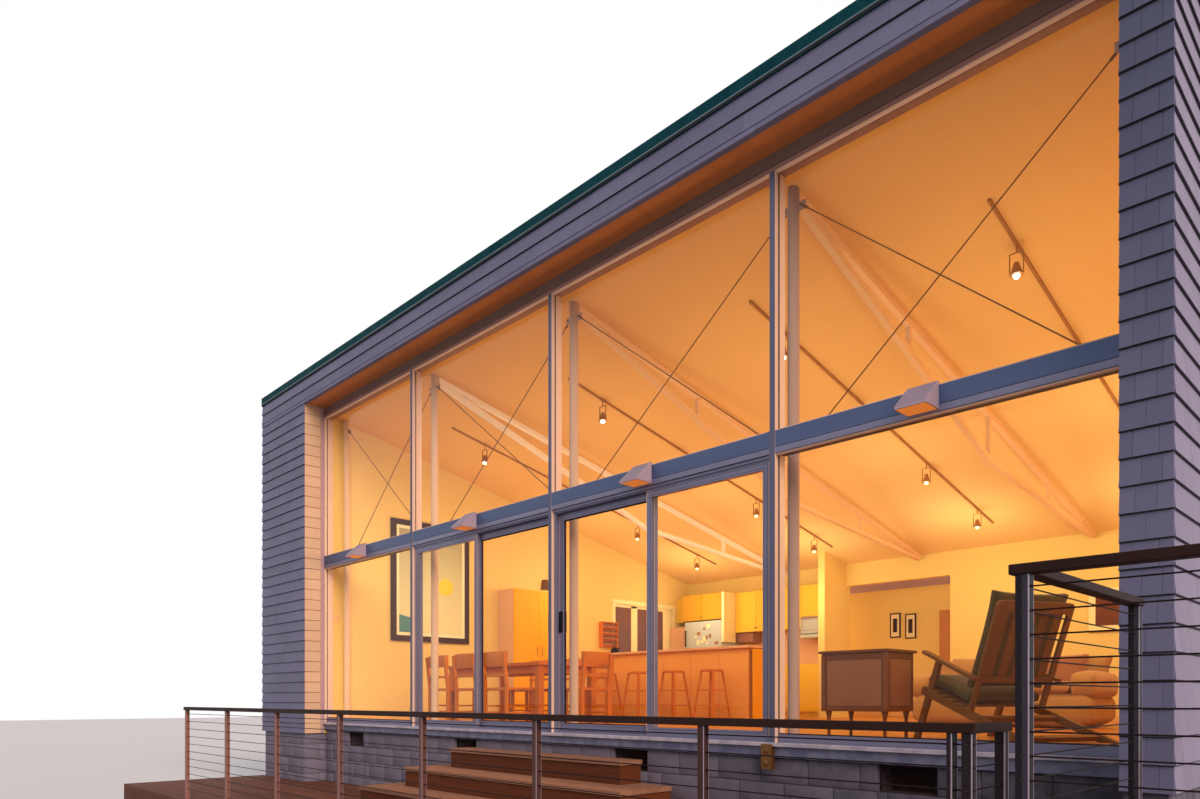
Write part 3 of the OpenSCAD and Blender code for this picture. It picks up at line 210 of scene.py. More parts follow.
# Paint and varnish rubbed thin along outer edges, broken up by noise
def makeEdgeGroup():
    group, given, result = newGroup(
        "edge wear",
        [("Vector", "Vector", None), ("Color", "Color", None), ("Worn", "Color", None), ("Amount", "Float", 0.5)],
        [("Color", "Color"), ("Mask", "Float")])
    edge = put(group, "MapRange", {"Value": put(group, "NewGeometry").outputs["Pointiness"], "From Min": 0.515,
                                   "From Max": 0.57}).outputs[0]
    patches = put(group, "TexNoise", {"Vector": given["Vector"], "Scale": 9.0, "Detail": 6.0}).outputs["Fac"]
    broken = put(group, "MapRange", {"Value": patches, "From Min": 0.42, "From Max": 0.6}).outputs[0]
    mask = maths(group, "MULTIPLY", maths(group, "MULTIPLY", edge, broken), given["Amount"])
    group.links.new(mixColour(group, mask, given["Color"], given["Worn"]), result["Color"])
    group.links.new(mask, result["Mask"])
    return group


groups = {"weather": makeWeatherGroup(), "grain": makeGrainGroup(), "weave": makeWeaveGroup(),
          "edge": makeEdgeGroup()}

# Every finish: its kind, two colours and the size of its pattern. A fade gives where another colour starts and where
# it has turned into this one, that colour, and the axis
finishes = {
    # seam: the colour of the painted shade strips under the shingle butts
    "shinglePaint": dict(kind="paint", light="62617c", dark="575670", scale=0.9, stretch=(1, 1, 0.35), rough=0.62,
                         bump=0.25, tone=0.16, amount=0.5, seam="120f18"),
    # painted shade: the front end's shingles are a darker copy of shinglePaint, and their fade makes them darker still
    # towards the top
    "endPaintShaded": dict(kind="paint", light="484b63", dark="3e4159", scale=0.9, stretch=(1, 1, 0.35), rough=0.62,
                     bump=0.25, tone=0.16, amount=0.5, seam="120f18", fade=(1.3, 3.4, "605f7a", 2)),
    # painted light: the right side's shingles are a lighter copy of shinglePaint, for the light falling on that side
    "sidePaintLit": dict(kind="paint", light="7c748a", dark="6d667e", scale=0.9, stretch=(1, 1, 0.35), rough=0.62,
                      bump=0.25, tone=0.14, amount=0.5, seam="1c1722"),
    # painted light: the wing's reveal shingles are coloured peach for the warm light falling on them
    "revealPaintLit": dict(kind="paint", light="c8a588", dark="b8977e", scale=1.2, rough=0.6, bump=0.15, tone=0.1,
                        amount=0.6, seam="80584a"),
    "revealTrim": dict(kind="paint", light="b08d92", dark="9a7a82", scale=1.5, rough=0.5, bump=0.08),
    "trimPaint": dict(kind="paint", light="5e6180", dark="505370", scale=2.0, rough=0.45, bump=0.08, worn="85869a"),
    "blockPaint": dict(kind="paint", light="4a4550", dark="3a3641", scale=1.6, rough=0.8, bump=0.6, tone=0.2,
                       bumpScale=90, worn="6d6673", fade=(6.5, 10.5, "6f6877", 0)),
    "sillPaint": dict(kind="paint", light="a9a0b0", dark="8f8899", scale=3.0, rough=0.4, bump=0.05, worn="c6bcc4"),
    # painted light: the soffit is coloured orange for the room's warm light falling on it
    "soffitPaintedGlow": dict(kind="paint", light="c0733c", dark="a86232", scale=0.8, rough=0.6, bump=0.05),
    "headBoard": dict(kind="paint", light="6e554c", dark="5c463f", scale=1.5, rough=0.6, bump=0.05),
    # painted reflection: the aluminium window head is coloured pinkish brown for the orange it reflects
    "headFrameReflection": dict(kind="paint", light="9a7163", dark="8a6255", scale=1.5, rough=0.45, bump=0.04),
    # partly painted light: the warm yellow of plaster and ceiling is partly their paint and partly the room's warm
    # light, and their fades, more orange at the front, are painted light
    "plaster": dict(kind="paint", light="eecc70", dark="e9c464", scale=0.5, rough=0.85, bump=0.05, bumpScale=120,
                    amount=0.3, fade=(1.0, 8.0, "ecc26c", 1)),
    "ceilingPaint": dict(kind="paint", light="f6cd7c", dark="f2c672", scale=0.5, rough=0.8, bump=0.04, bumpScale=90,
                         amount=0.3, fade=(0.3, 6.0, "f0b05c", 1)),
    # painted shade: the hall ceiling is coloured lilac grey for the shade it lies in
    "hallCeilingShaded": dict(kind="paint", light="b49cb4", dark="a68ea8", scale=0.6, rough=0.8, bump=0.04, amount=0.3),
    "skirting": dict(kind="paint", light="e8b468", dark="dca65c", scale=2, rough=0.5, bump=0.03),
    "floorOak": dict(kind="wood", light="d08038", dark="ac5c22", scale=2.2, stretch=(0.35, 4, 4), rough=0.35,
                     bump=0.06, tone=0.35),
    "roofGreen": dict(kind="paint", light="083a42", dark="062e36", scale=1.2, rough=0.6, bump=0.04, worn="164850",
                      gloss=0.05),
    "edgeLight": dict(kind="paint", light="51646e", dark="44565f", scale=2, rough=0.5, bump=0.03),
    "shadowLine": dict(kind="paint", light="0c0d13", dark="08090e", scale=5, rough=0.9, bump=0.02),
    "slate": dict(kind="metal", light="585a72", dark="4b4d66", scale=3, stretch=(1, 1, 0.1), rough=0.42, metal=0.3,
                  bump=0.04, amount=0.6),
    "transomMetal": dict(kind="metal", light="48567a", dark="3e4b6f", scale=2, stretch=(0.1, 1, 1), rough=0.42,
                         metal=0.3, bump=0.04, amount=0.6),
    "lilacMetal": dict(kind="metal", light="77758f", dark="6a6983", scale=3, stretch=(0.1, 1, 1), rough=0.4, metal=0.3,
                       bump=0.04, amount=0.6),
    "beadCream": dict(kind="paint", light="dcb7a0", dark="cda692", scale=3, rough=0.45, bump=0.03, amount=0.5),
    "jambBrown": dict(kind="paint", light="a26b4c", dark="8c573c", scale=3, rough=0.5, bump=0.03, amount=0.5),
    "black": dict(kind="paint", light="100f11", dark="09090a", scale=8, rough=0.5, bump=0.05, worn="232224",
                  gloss=0.1),
    "rubber": dict(kind="paint", light="2c1512", dark="200d0b", scale=8, rough=0.8, bump=0.05),
    "steelPaint": dict(kind="paint", light="a88678", dark="9c7b6c", scale=1.5, rough=0.45, bump=0.04, amount=0.4,
                       fade=(2.0, 9.0, "e4b890", 0)),
    "trussPaint": dict(kind="paint", light="f4c488", dark="ecb87c", scale=1.5, rough=0.5, bump=0.03, amount=0.4,
                       fade=(3.9, 6.1, "ffeccc", 0)),
    "rodSteel": dict(kind="metal", light="8f5a24", dark="70421a", scale=12, rough=0.45, metal=0.35, bump=0.08),
    "lampShell": dict(kind="paint", light="a893a0", dark="9b8795", scale=6, rough=0.45, bump=0.05, amount=0.5),
    "lampTop": dict(kind="paint", light="8c8598", dark="7e778b", scale=5, rough=0.45, bump=0.04, amount=0.6),
    "trackBrown": dict(kind="paint", light="b27636", dark="9a622a", scale=6, rough=0.45, bump=0.03),
    "deckWood": dict(kind="wood", light="6a4234", dark="3a2219", scale=2.5, stretch=(0.3, 5, 5), rough=0.75, bump=0.25,
                     tone=0.35, gloss=0.15),
    "stepTread": dict(kind="wood", light="9c7058", dark="664434", scale=2.5, stretch=(0.3, 5, 5), rough=0.65, bump=0.2,
                      tone=0.25, gloss=0.2),
    "stepRiser": dict(kind="wood", light="6a3a22", dark="3a1c10", scale=2.5, stretch=(0.3, 5, 5), rough=0.7, bump=0.2,
                      tone=0.25, gloss=0.15),
    "capWood": dict(kind="wood", light="2c1712", dark="140a08", scale=3, stretch=(0.3, 5, 5), rough=0.6, bump=0.15,
                    tone=0.2, gloss=0.15),
    "postSteel": dict(kind="metal", light="1b151b", dark="120e12", scale=6, stretch=(1, 1, 0.1), rough=0.5, metal=0.0,
                      bump=0.04, amount=0.6, gloss=0.15, fade=(2.0, 11.05, "8a5c4e", 0)),
    # painted light: a lighter copy of the post steel for the front's half next to the lit corner
    "postFaceLit": dict(kind="metal", light="37343f", dark="2b2832", scale=6, stretch=(1, 1, 0.1), rough=0.5, metal=0.0,
                     bump=0.04, amount=0.6, gloss=0.15),
    # painted highlight: a bright strip along each post's corner edge, where light catches it
    "postHighlight": dict(kind="metal", light="a393a4", dark="8b7c8d", scale=6, rough=0.3, metal=0.4, bump=0.03,
                     amount=0.6),
    "cableSteel": dict(kind="metal", light="1e1416", dark="140d0f", scale=30, rough=0.6, metal=0.0, bump=0.1,
                       gloss=0.1),
    "maple": dict(kind="wood", light="f2c63a", dark="e8b224", scale=2.0, stretch=(4, 4, 0.35), rough=0.4, bump=0.03,
                  tone=0.12, gloss=0.2),
    "palePanel": dict(kind="paint", light="f8e29c", dark="f2d88c", scale=1.5, rough=0.5, bump=0.02, amount=0.4),
    "peachPanel": dict(kind="paint", light="eab07a", dark="e2a46c", scale=1.5, rough=0.5, bump=0.02, amount=0.4),
    "amberPanel": dict(kind="wood", light="f4a804", dark="e89402", scale=2.0, stretch=(4, 4, 0.35), rough=0.45,
                       bump=0.03, tone=0.1, gloss=0.1),
    "barPly": dict(kind="wood", light="f4a64c", dark="e8943a", scale=1.4, stretch=(0.4, 3, 3), rough=0.45, bump=0.04,
                   tone=0.1, gloss=0.25),
    "beech": dict(kind="wood", light="e27c26", dark="bc5e14", scale=5, stretch=(3, 3, 0.5), rough=0.4, bump=0.05,
                  tone=0.2, gloss=0.3),
    "darkWood": dict(kind="wood", light="8a4a24", dark="582c12", scale=4, stretch=(0.4, 3, 3), rough=0.4, bump=0.05,
                     tone=0.2, gloss=0.3),
    "chestPanel": dict(kind="wood", light="a0623a", dark="6e4022", scale=4, stretch=(0.4, 3, 3), rough=0.4, bump=0.05,
                       tone=0.2, gloss=0.3),
    "enamel": dict(kind="paint", light="c0bfa8", dark="b4b39c", scale=3, rough=0.3, bump=0.02, amount=0.5),
    "pictureBlack": dict(kind="wood", light="4a2a18", dark="26140c", scale=4, stretch=(3, 3, 0.4), rough=0.4,
                         bump=0.05, tone=0.1, gloss=0.1),
    "paper": dict(kind="paint", light="f0dca6", dark="e8d298", scale=2, rough=0.7, bump=0.02, amount=0.3),
    "printSky": dict(kind="paint", light="c4b47c", dark="bcab74", scale=1.1, rough=0.6, bump=0.02, amount=0.4,
                     tone=0.7),
    "printTeal": dict(kind="paint", light="4c7a70", dark="5c8478", scale=2.0, rough=0.6, bump=0.02, amount=0.9),
    "printSun": dict(kind="paint", light="fcc028", dark="f6b41c", scale=3.0, rough=0.6, bump=0.02, amount=0.6),
    "honeyPanel": dict(kind="wood", light="d49820", dark="c48412", scale=2.0, stretch=(4, 4, 0.35), rough=0.4,
                       bump=0.03, tone=0.1, gloss=0.2),
    "doorOrange": dict(kind="wood", light="b8762e", dark="a86622", scale=2.0, stretch=(4, 4, 0.35), rough=0.45,
                       bump=0.03, tone=0.1),
    "teak": dict(kind="wood", light="a06a38", dark="5e3c1c", scale=4, stretch=(3, 3, 0.4), rough=0.45, bump=0.06,
                 tone=0.3, gloss=0.3),
    # painted shade: opaque dark panes in place of glass, for the dark beyond the side window
    "duskShadePane": dict(kind="paint", light="7a5149", dark="5f403d", scale=0.9, rough=0.12, bump=0.0, amount=0.9),
    "oliveCloth": dict(kind="cloth", light="6c5416", dark="46360a", scale=300, rough=0.9, bump=0.3, sheen=0.2),
    "slipCloth": dict(kind="cloth", light="cc9650", dark="aa7432", scale=240, rough=0.9, bump=0.25, sheen=0.2),
    "roseCloth": dict(kind="cloth", light="b87a48", dark="985a32", scale=260, rough=0.9, bump=0.25, sheen=0.2),
    "brass": dict(kind="metal", light="7c5226", dark="57391c", scale=10, rough=0.4, metal=0.6, bump=0.08),
    "boltSteel": dict(kind="metal", light="b59a86", dark="93796a", scale=20, rough=0.35, metal=0.6, bump=0.05),
}
looks = {}
bumpDepth = 0.002


def newMaterial(name):
    looks[name] = bpy.data.materials.new(name)
    looks[name].use_nodes = True
    return looks[name].node_tree, looks[name].node_tree.nodes["Principled BSDF"]


def finish(name):
    if name in looks:
        return looks[name]
    given = finishes[name]
    tree, shader = newMaterial(name)
    spot = put(tree, "Mapping", {"Vector": put(tree, "TexCoord").outputs["Object"],
                                 "Scale": given.get("stretch", (1, 1, 1))}).outputs[0]
    tone = put(tree, "Attribute", attribute_name="tone").outputs["Fac"]
    light, dark, scale = tint(given["light"]), tint(given["dark"]), float(given["scale"])
    if "fade" in given:  # another colour at the front, the left or the foot, which turns into this one
        near, far, front, axis = given["fade"]
        place = put(tree, "SeparateXYZ", {0: put(tree, "TexCoord").outputs["Object"]}).outputs["XYZ"[axis]]
        along = put(tree, "MapRange", {"Value": place, "From Min": near + corner[axis],
                                       "From Max": far + corner[axis]}).outputs[0]
        light = mixColour(tree, along, tint(front), light)
        dark = mixColour(tree, along, tint(front), dark)
    shader.inputs["Metallic"].default_value = given.get("metal", 0.0)
    shader.inputs["Sheen Weight"].default_value = given.get("sheen", 0.0)
    shader.inputs["Specular IOR Level"].default_value = given.get("gloss", 0.5)
    common = {"Vector": spot, "Tone": tone, "Scale": scale}
    if given["kind"] == "wood":
        wood = put(tree, "Group", common | {"Light": light, "Dark": dark, "Tone Spread": given.get("tone", 0.2)},
                   node_tree=groups["grain"])
        colour, height = wood.outputs["Color"], wood.outputs["Height"]
        roughBy = height
    elif given["kind"] == "cloth":
        cloth = put(tree, "Group", {"Vector": spot, "Color": light, "Shade": dark, "Scale": scale},
                    node_tree=groups["weave"])
        colour, height = cloth.outputs["Color"], cloth.outputs["Height"]
        roughBy = height
    else:
        paint = put(tree, "Group", common | {"Color": light, "Stain": dark, "Seam": tint(given.get("seam", "120f16")),
                                             "Amount": given.get("amount", 0.6),
                                             "Tone Spread": given.get("tone", 0.1)}, node_tree=groups["weather"])
        colour, roughBy = paint.outputs["Color"], paint.outputs["Value"]
        height = put(tree, "TexNoise", {"Vector": spot, "Scale": float(given.get("bumpScale", 55)),
                                        "Detail": 4.0}).outputs["Fac"]
    if "worn" in given:
        colour = put(tree, "Group", {"Vector": spot, "Color": colour, "Worn": tint(given["worn"]), "Amount": 0.6},
                     node_tree=groups["edge"]).outputs["Color"]
    rough = put(tree, "MapRange", {"Value": roughBy, "To Min": given["rough"] - 0.06, "To Max": given["rough"] + 0.08})
    bump = put(tree, "Bump", {"Height": height, "Strength": given["bump"], "Distance": bumpDepth})
    tree.links.new(colour, shader.inputs["Base Color"])
    tree.links.new(rough.outputs[0], shader.inputs["Roughness"])
    tree.links.new(bump.outputs[0], shader.inputs["Normal"])
    return looks[name]


def glassFinish(name, colour):
    tree, shader = newMaterial(name)
    for key, value in (("Base Color", tint(colour)), ("Roughness", 0.0), ("IOR", 1.15), ("Transmission Weight", 1.0)):
        shader.inputs[key].default_value = value
    clear = put(tree, "BsdfTransparent", {"Color": tint(colour)})
    mix = put(tree, "MixShader", {0: put(tree, "LightPath").outputs["Is Shadow Ray"], 1: shader.outputs[0],
                                  2: clear.outputs[0]})
    tree.links.new(mix.outputs[0], tree.nodes["Material Output"].inputs["Surface"])


def glowFinish(name, colour, strength):
    tree, shader = newMaterial(name)
    for key, value in (("Base Color", tint(colour)), ("Emission Color", tint(colour)), ("Emission Strength", strength)):
        shader.inputs[key].default_value = value


glassFinish("clearGlass", "fbfdfd")
glowFinish("bulbGlow", "fff0c8", 9.0)
glowFinish("bulbWarm", "ffdc96", 3.0)
glowFinish("lensGlow", "c8702c", 0.8)
print("finishes ready")


class Solids:  # many small closed shapes that become one mesh, each with its own tone
    def __init__(self, seed=1):
        self.points, self.faces, self.tones, self.dice = [], [], [], random.Random(seed)

    def add(self, points, faces, tone=None):
        start = len(self.points)
        self.points += [tuple(p) for p in points]
        self.faces += [[start + i for i in face] for face in faces]
        self.tones += [self.dice.random() if tone is None else tone] * len(faces)

    def loft(self, rings, tone=None):  # joins outlines with the same number of points, and caps both ends
        n = len(rings[0])
        faces = [list(range(n))[::-1], list(range(n * (len(rings) - 1), n * len(rings)))]
        for r in range(len(rings) - 1):
            faces += [[r * n + i, r * n + (i + 1) % n, r * n + n + (i + 1) % n, r * n + n + i] for i in range(n)]
        self.add([p for ring in rings for p in ring], faces, tone)

    def block(self, x0, x1, y0, y1, z0, z1, tone=None):
        self.loft([[(x0, y0, z), (x1, y0, z), (x1, y1, z), (x0, y1, z)] for z in (z0, z1)], tone)

    def prism(self, outline, low, high, axis="x", tone=None):  # outline in (y, z), (x, z) or (x, y)
        aim = {"x": lambda a, b, c: (c, a, b), "y": lambda a, b, c: (a, c, b), "z": lambda a, b, c: (a, b, c)}[axis]
        self.loft([[aim(a, b, c) for a, b in outline] for c in (low, high)], tone)

    def ring(self, x0, x1, y0, y1, z0, z1, w, axis="y", tone=None):  # a frame w wide, flat across the axis
        if axis == "y":
            self.block(x0, x0 + w, y0, y1, z0, z1, tone)
            self.block(x1 - w, x1, y0, y1, z0, z1, tone)
            for z in (z0, z1 - w):
                self.block(x0 + w, x1 - w, y0, y1, z, z + w, tone)
        else:
            self.block(x0, x1, y0, y0 + w, z0, z1, tone)
            self.block(x0, x1, y1 - w, y1, z0, z1, tone)
            for z in (z0, z1 - w):
                self.block(x0, x1, y0 + w, y1 - w, z, z + w, tone)

    def lathe(self, centre, profile, axis="z", sides=20, tone=None):  # profile in (along, radius)
        aim = {"x": lambda a, u, v: (a, u, v), "y": lambda a, u, v: (u, a, v), "z": lambda a, u, v: (u, v, a)}[axis]
        turns = [i * math.tau / sides for i in range(sides)]
        self.loft([[Vector(centre) + Vector(aim(a, r * math.cos(t), r * math.sin(t))) for t in turns]
                   for a, r in profile], tone)

    def tube(self, path, radius, sides=10, tone=None):
        path = [Vector(p) for p in path]
        rings = []
        for i, p in enumerate(path):
            way = (path[min(i + 1, len(path) - 1)] - path[max(i - 1, 0)]).normalized()
            side = way.cross(Vector((0, 0, 1)) if abs(way.z) < 0.9 else Vector((1, 0, 0))).normalized()
            up = side.cross(way)
            rings.append([p + radius * (math.cos(a) * side + math.sin(a) * up)
                          for a in (j * math.tau / sides for j in range(sides))])
        self.loft(rings, tone)

    def build(self, name, look, body="house", bevel=0.0, smooth=30, slot=None, replaces=()):
        mesh = bpy.data.meshes.new(name)
        mesh.from_pydata([Vector(p) + corner for p in self.points], [], self.faces)
        mesh.attributes.new("tone", "FLOAT", "FACE").data.foreach_set("value", self.tones)
        work = bmesh.new()
        work.from_mesh(mesh)
        bmesh.ops.recalc_face_normals(work, faces=work.faces)
        work.to_mesh(mesh)
        work.free()
        mesh.shade_smooth()
        mesh.set_sharp_from_angle(angle=math.radians(smooth))
        piece = bpy.data.objects.new(name, mesh)
        bpy.context.scene.collection.objects.link(piece)
        mesh.materials.append(finish(look))
        if bevel:
            soften(piece, bevel)
        declare(piece, body, replaces)


def declare(piece, body, replaces):  # what it rides on, and what it stands for
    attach(piece, body)
    if replaces:
        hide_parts(*replaces)


def soften(piece, width):
    edge = piece.modifiers.new("soft edges", "BEVEL")
    edge.width, edge.segments, edge.limit_method, edge.angle_limit = width, 2, "ANGLE", math.radians(40)
    edge.harden_normals = True


def dress(name, look, bevel=0.0):  # a CAD node keeps its mesh, and gets a finish and softer edges
    piece = cad[name]
    piece.data.materials.clear()
    piece.data.materials.append(finish(look))
    if bevel:
        weld = piece.modifiers.new("joined", "WELD")
        weld.merge_threshold = 0.00005
        soften(piece, bevel)


def clip(outline, side):  # the part of a convex outline where side(point) is positive
    kept = []
    for a, b in zip(outline, outline[1:] + outline[:1]):
        atA, atB = side(a), side(b)
        if atA >= 0:
            kept.append(a)
        if atA * atB < 0:
            t = atA / (atA - atB)
            kept.append((a[0] + (b[0] - a[0]) * t, a[1] + (b[1] - a[1]) * t))
    return kept


# Shingles: wide and tapered, thick at the butt, with a dark strip of painted shade under every butt
shingle = dict(course=0.1397, lap=0.012, narrow=0.3, wide=0.62, gap=0.0014, butt=0.018, tip=0.004, wander=0.0007,
               shade=0.008)


def outsideHole(outlines, hole):  # what is left of convex outlines round a rectangular hole
    h0, h1, v0, v1 = hole
    kept = []
    for whole in outlines:
        middle = clip(clip(whole, lambda p: p[0] - h0), lambda p: h1 - p[0])
        kept += [clip(whole, lambda p: h0 - p[0]), clip(whole, lambda p: p[0] - h1),
                 clip(middle, lambda p: v0 - p[1]), clip(middle, lambda p: p[1] - v1)]
    return [o for o in kept if len(o) > 2]


def shingleWall(solids, u0, u1, z0, z1, place, top=None, hole=None, starts=None, joints=None):
    dice = solids.dice
    starts = starts or [z0 + n * shingle["course"] for n in range(int((z1 - z0 - 0.01) / shingle["course"]) + 1)]

    def lay(outline, outAt, tone):
        outlines = outsideHole([outline], hole) if hole else [outline]
        for piece in outlines:
            if top:
                piece = clip(piece, top)
            if len(piece) < 3:
                continue
            us, vs = [p[0] for p in piece], [p[1] for p in piece]
            if max(us) - min(us) > 0.0005 and max(vs) - min(vs) > 0.0005:
                solids.loft([[place(p, 0.0, v) for p, v in piece], [place(p, outAt(v), v) for p, v in piece]], tone)

    for row, z in enumerate(starts):
        above = starts[row + 1] if row + 1 < len(starts) else z1
        high = min(above + shingle["lap"], z1)
        if joints:
            cuts = [u0] + [u0 + (u1 - u0) * j for j in joints[row % len(joints)]] + [u1]
        else:
            cuts = [u0, u0 + dice.uniform(0.1, shingle["wide"])]
            while cuts[-1] < u1 - shingle["narrow"]:
                cuts.append(cuts[-1] + dice.uniform(shingle["narrow"], shingle["wide"]))
            cuts[-1] = u1
        for a, b in zip(cuts, cuts[1:]):
            low = z + dice.uniform(-1, 1) * shingle["wander"]
            butt = shingle["butt"] + dice.uniform(-1, 1) * shingle["wander"]
            slope = (shingle["tip"] - butt) / (shingle["course"] + shingle["lap"])
            lay([(a + shingle["gap"] / 2, low), (b - shingle["gap"] / 2, low), (b - shingle["gap"] / 2, high),
                 (a + shingle["gap"] / 2, high)], lambda v: butt + slope * (v - low), dice.random())
        if row:  # painted shade: dark strips under the butts, in the finish's seam colour
            lay([(u0, z - shingle["shade"]), (u1, z - shingle["shade"]), (u1, z), (u0, z)], lambda v: 0.0075, -1.0)
            lay([(u0, z - 0.002), (u1, z - 0.002), (u1, z), (u0, z)], lambda v: shingle["butt"] - 0.0015, -1.0)


def underRoof(p):
    return roofZ(p[0]) - roofTrim - 0.002 - p[1]


window = span("side_window")
edgeBottom = roofEdgeHigh.z - roofTrim
wallTop, past = soffitZ + 0.002, 0.012  # courses run past a corner by their thickness there


def shingleSide(name, seed, look, *walls, **changed):  # changed: what differs from the settings on this side
    usual = dict(shingle)
    shingle.update(changed)
    courses = Solids(seed)
    for (u0, u1, z0, z1, place), extra in walls:
        shingleWall(courses, u0, u1, z0, z1, place, **extra)
    courses.build(name, look, slot="shingle_grey")
    shingle.update(usual)


def facingFront(u, out, z):
    return (u, -out, z)


shingleSide("wing_shingles", 11, "shinglePaint", ((-past, openLeft + past, skirtZ, wallTop, facingFront), {}))
shingleSide("reveal_shingles", 16, "revealPaintLit",
            ((0.0, glassY - 0.095, skirtZ, wallTop, lambda u, out, z: (openLeft + out, u, z)), dict(joints=[()])),
            butt=0.008, shade=0.006)
shingleSide("end_shingles", 12, "endPaintShaded",
            ((openRight - past, houseWidth + past, skirtZ, wallTop, facingFront),
             dict(joints=[(0.26, 0.74), (0.5,), (0.3, 0.7), (0.42, 0.8)])),
            ((0.0, frameFront - 0.002, skirtZ, wallTop, lambda u, out, z: (openRight - out, u, z)), {}))
shingleSide("right_shingles", 18, "sidePaintLit",
            ((0.0, houseDepth + past, skirtZ, roofZ(0), lambda u, out, z: (houseWidth + out, u, z)),
             dict(top=underRoof)))
shingleSide("left_shingles", 13, "shinglePaint",
            ((0.0, houseDepth + past, skirtZ, roofZ(0), lambda u, out, z: (-out, u, z)),
             dict(top=underRoof,
                  hole=(window[0].y - 0.03, window[1].y + 0.03, window[0].z - 0.03, window[1].z + 0.03))))
shingleSide("back_shingles", 14, "shinglePaint",
            ((-past, houseWidth + past, skirtZ, ceilingZ(houseDepth) - 0.002,
              lambda u, out, z: (u, houseDepth + out, z)), {}))
shingleSide("fascia_shingles", 15, "shinglePaint",
            ((-past, houseWidth + past, soffitZ - 0.004, edgeBottom - 0.001, facingFront),
             dict(starts=[soffitZ - 0.004, soffitZ + 0.039, soffitZ + 0.175])), narrow=0.6, wide=1.5)

# Trim round the recess, the light strip and the painted shadow line of the roof edge, a painted shadow line over the
# window head, and the board over the window head
border = dict(t=0.012, front=glassY - 0.094, lift=0.002, back=-0.019, strip=-0.0225, line=-0.0212, stripLow=0.021,
              stripHigh=0.033, board=0.042, boardT=0.0025, shadow=0.008)
trim, strip, shadowStrips, head = Solids(17), Solids(19), Solids(20), Solids(29)
for x in (openLeft, openRight - border["t"]):
    trim.block(x, x + border["t"], border["front"], frameFront, skirtZ + border["lift"], soffitZ)
edgeX0, edgeX1 = roofEdgeLow.x + 0.001, roofEdgeHigh.x - 0.001
strip.block(edgeX0, edgeX1, border["strip"], border["back"], edgeBottom + border["stripLow"],
            edgeBottom + border["stripHigh"])
shadowStrips.block(edgeX0, edgeX1, border["line"], border["back"], edgeBottom + 0.0005, edgeBottom + border["stripLow"])
shadowStrips.block(openLeft, openRight, glassY - border["board"] - 0.0005, glassY - 0.039, headTop + 0.0005,
            headTop + border["shadow"])
head.block(openLeft + 0.001, openRight - 0.001, glassY - border["board"], glassY - border["board"] + border["boardT"],
           headTop + border["shadow"] + 0.002, soffitZ - 0.001)
trim.build("reveal_trim", "revealTrim", bevel=0.001, slot="trim_grey")
strip.build("edge_strip", "edgeLight", slot="roof_green")
shadowStrips.build("shadow_lines", "shadowLine")
head.build("head_board", "headBoard", slot="trim_grey")

# Boards that box in the eave at the back
eave = dict(t=0.012, start=houseDepth + 0.014, end=span("roof_deck")[1].y, right=span("roof_deck")[1].x, gap=0.001)
boards = Solids(45)
y0, y1, t = eave["start"], eave["end"], eave["t"]
low0, low1 = ceilingZ(y0), ceilingZ(y1)
top0, top1 = roofZ(y0) - roofTrim - eave["gap"], roofZ(y1) - roofTrim - eave["gap"]
boards.prism([(y0, low0), (y1, low1), (y1, low1 - t), (y0, low0 - t)], -t, eave["right"] + t)
boards.block(-t, eave["right"] + t, y1, y1 + t, low1 - t, top1)
for a, b in ((-t, 0.0), (eave["right"], eave["right"] + t)):
    boards.prism([(y0, low0), (y1, low1), (y1, top1), (y0, top0)], a, b)
boards.build("eave_boards", "shinglePaint", bevel=0.002, slot="trim_grey")
print("shingles laid")

# Concrete blocks in running bond, each with a rounded arris, standing a little out of the wall's plane
blockwork = dict(length=0.4, height=0.2, joint=0.009, out=0.008, arris=0.005, uneven=0.0012, leastLength=0.03,
                 leastHeight=0.02)


def blockWall(solids, u0, u1, z0, z1, place, holes=()):
    row = 0
    z = z0
    while z < z1 - 0.03:
        u = u0 - (blockwork["length"] / 2 if row % 2 else 0)
        top = min(z + blockwork["height"], z1)
        while u < u1:
            a, b = max(u, u0) + blockwork["joint"] / 2, min(u + blockwork["length"], u1) - blockwork["joint"] / 2
            u += blockwork["length"]
            low, high = z + blockwork["joint"] / 2, top - blockwork["joint"] / 2
            outlines = [[(a, low), (b, low), (b, high), (a, high)]]
            for hole in holes:
                outlines = outsideHole(outlines, hole)
            tone = solids.dice.random()
            for o in outlines:
                us, vs = [p[0] for p in o], [p[1] for p in o]
                if max(us) - min(us) < blockwork["leastLength"] or max(vs) - min(vs) < blockwork["leastHeight"]:
                    continue
                corners = [(min(us), min(vs), 1, 1), (max(us), min(vs), -1, 1), (max(us), max(vs), -1, -1),
                           (min(us), max(vs), 1, -1)]
                out = blockwork["out"] + solids.dice.uniform(-1, 1) * blockwork["uneven"]
                arris = blockwork["arris"]
                solids.loft([[place(p + s * inset, at, v + t * inset) for p, v, s, t in corners]
                             for inset, at in ((0.0, -0.004), (0.0, out - arris), (arris * 0.4, out - arris * 0.3),
                                               (arris, out))], tone)
        z += blockwork["height"]
        row += 1


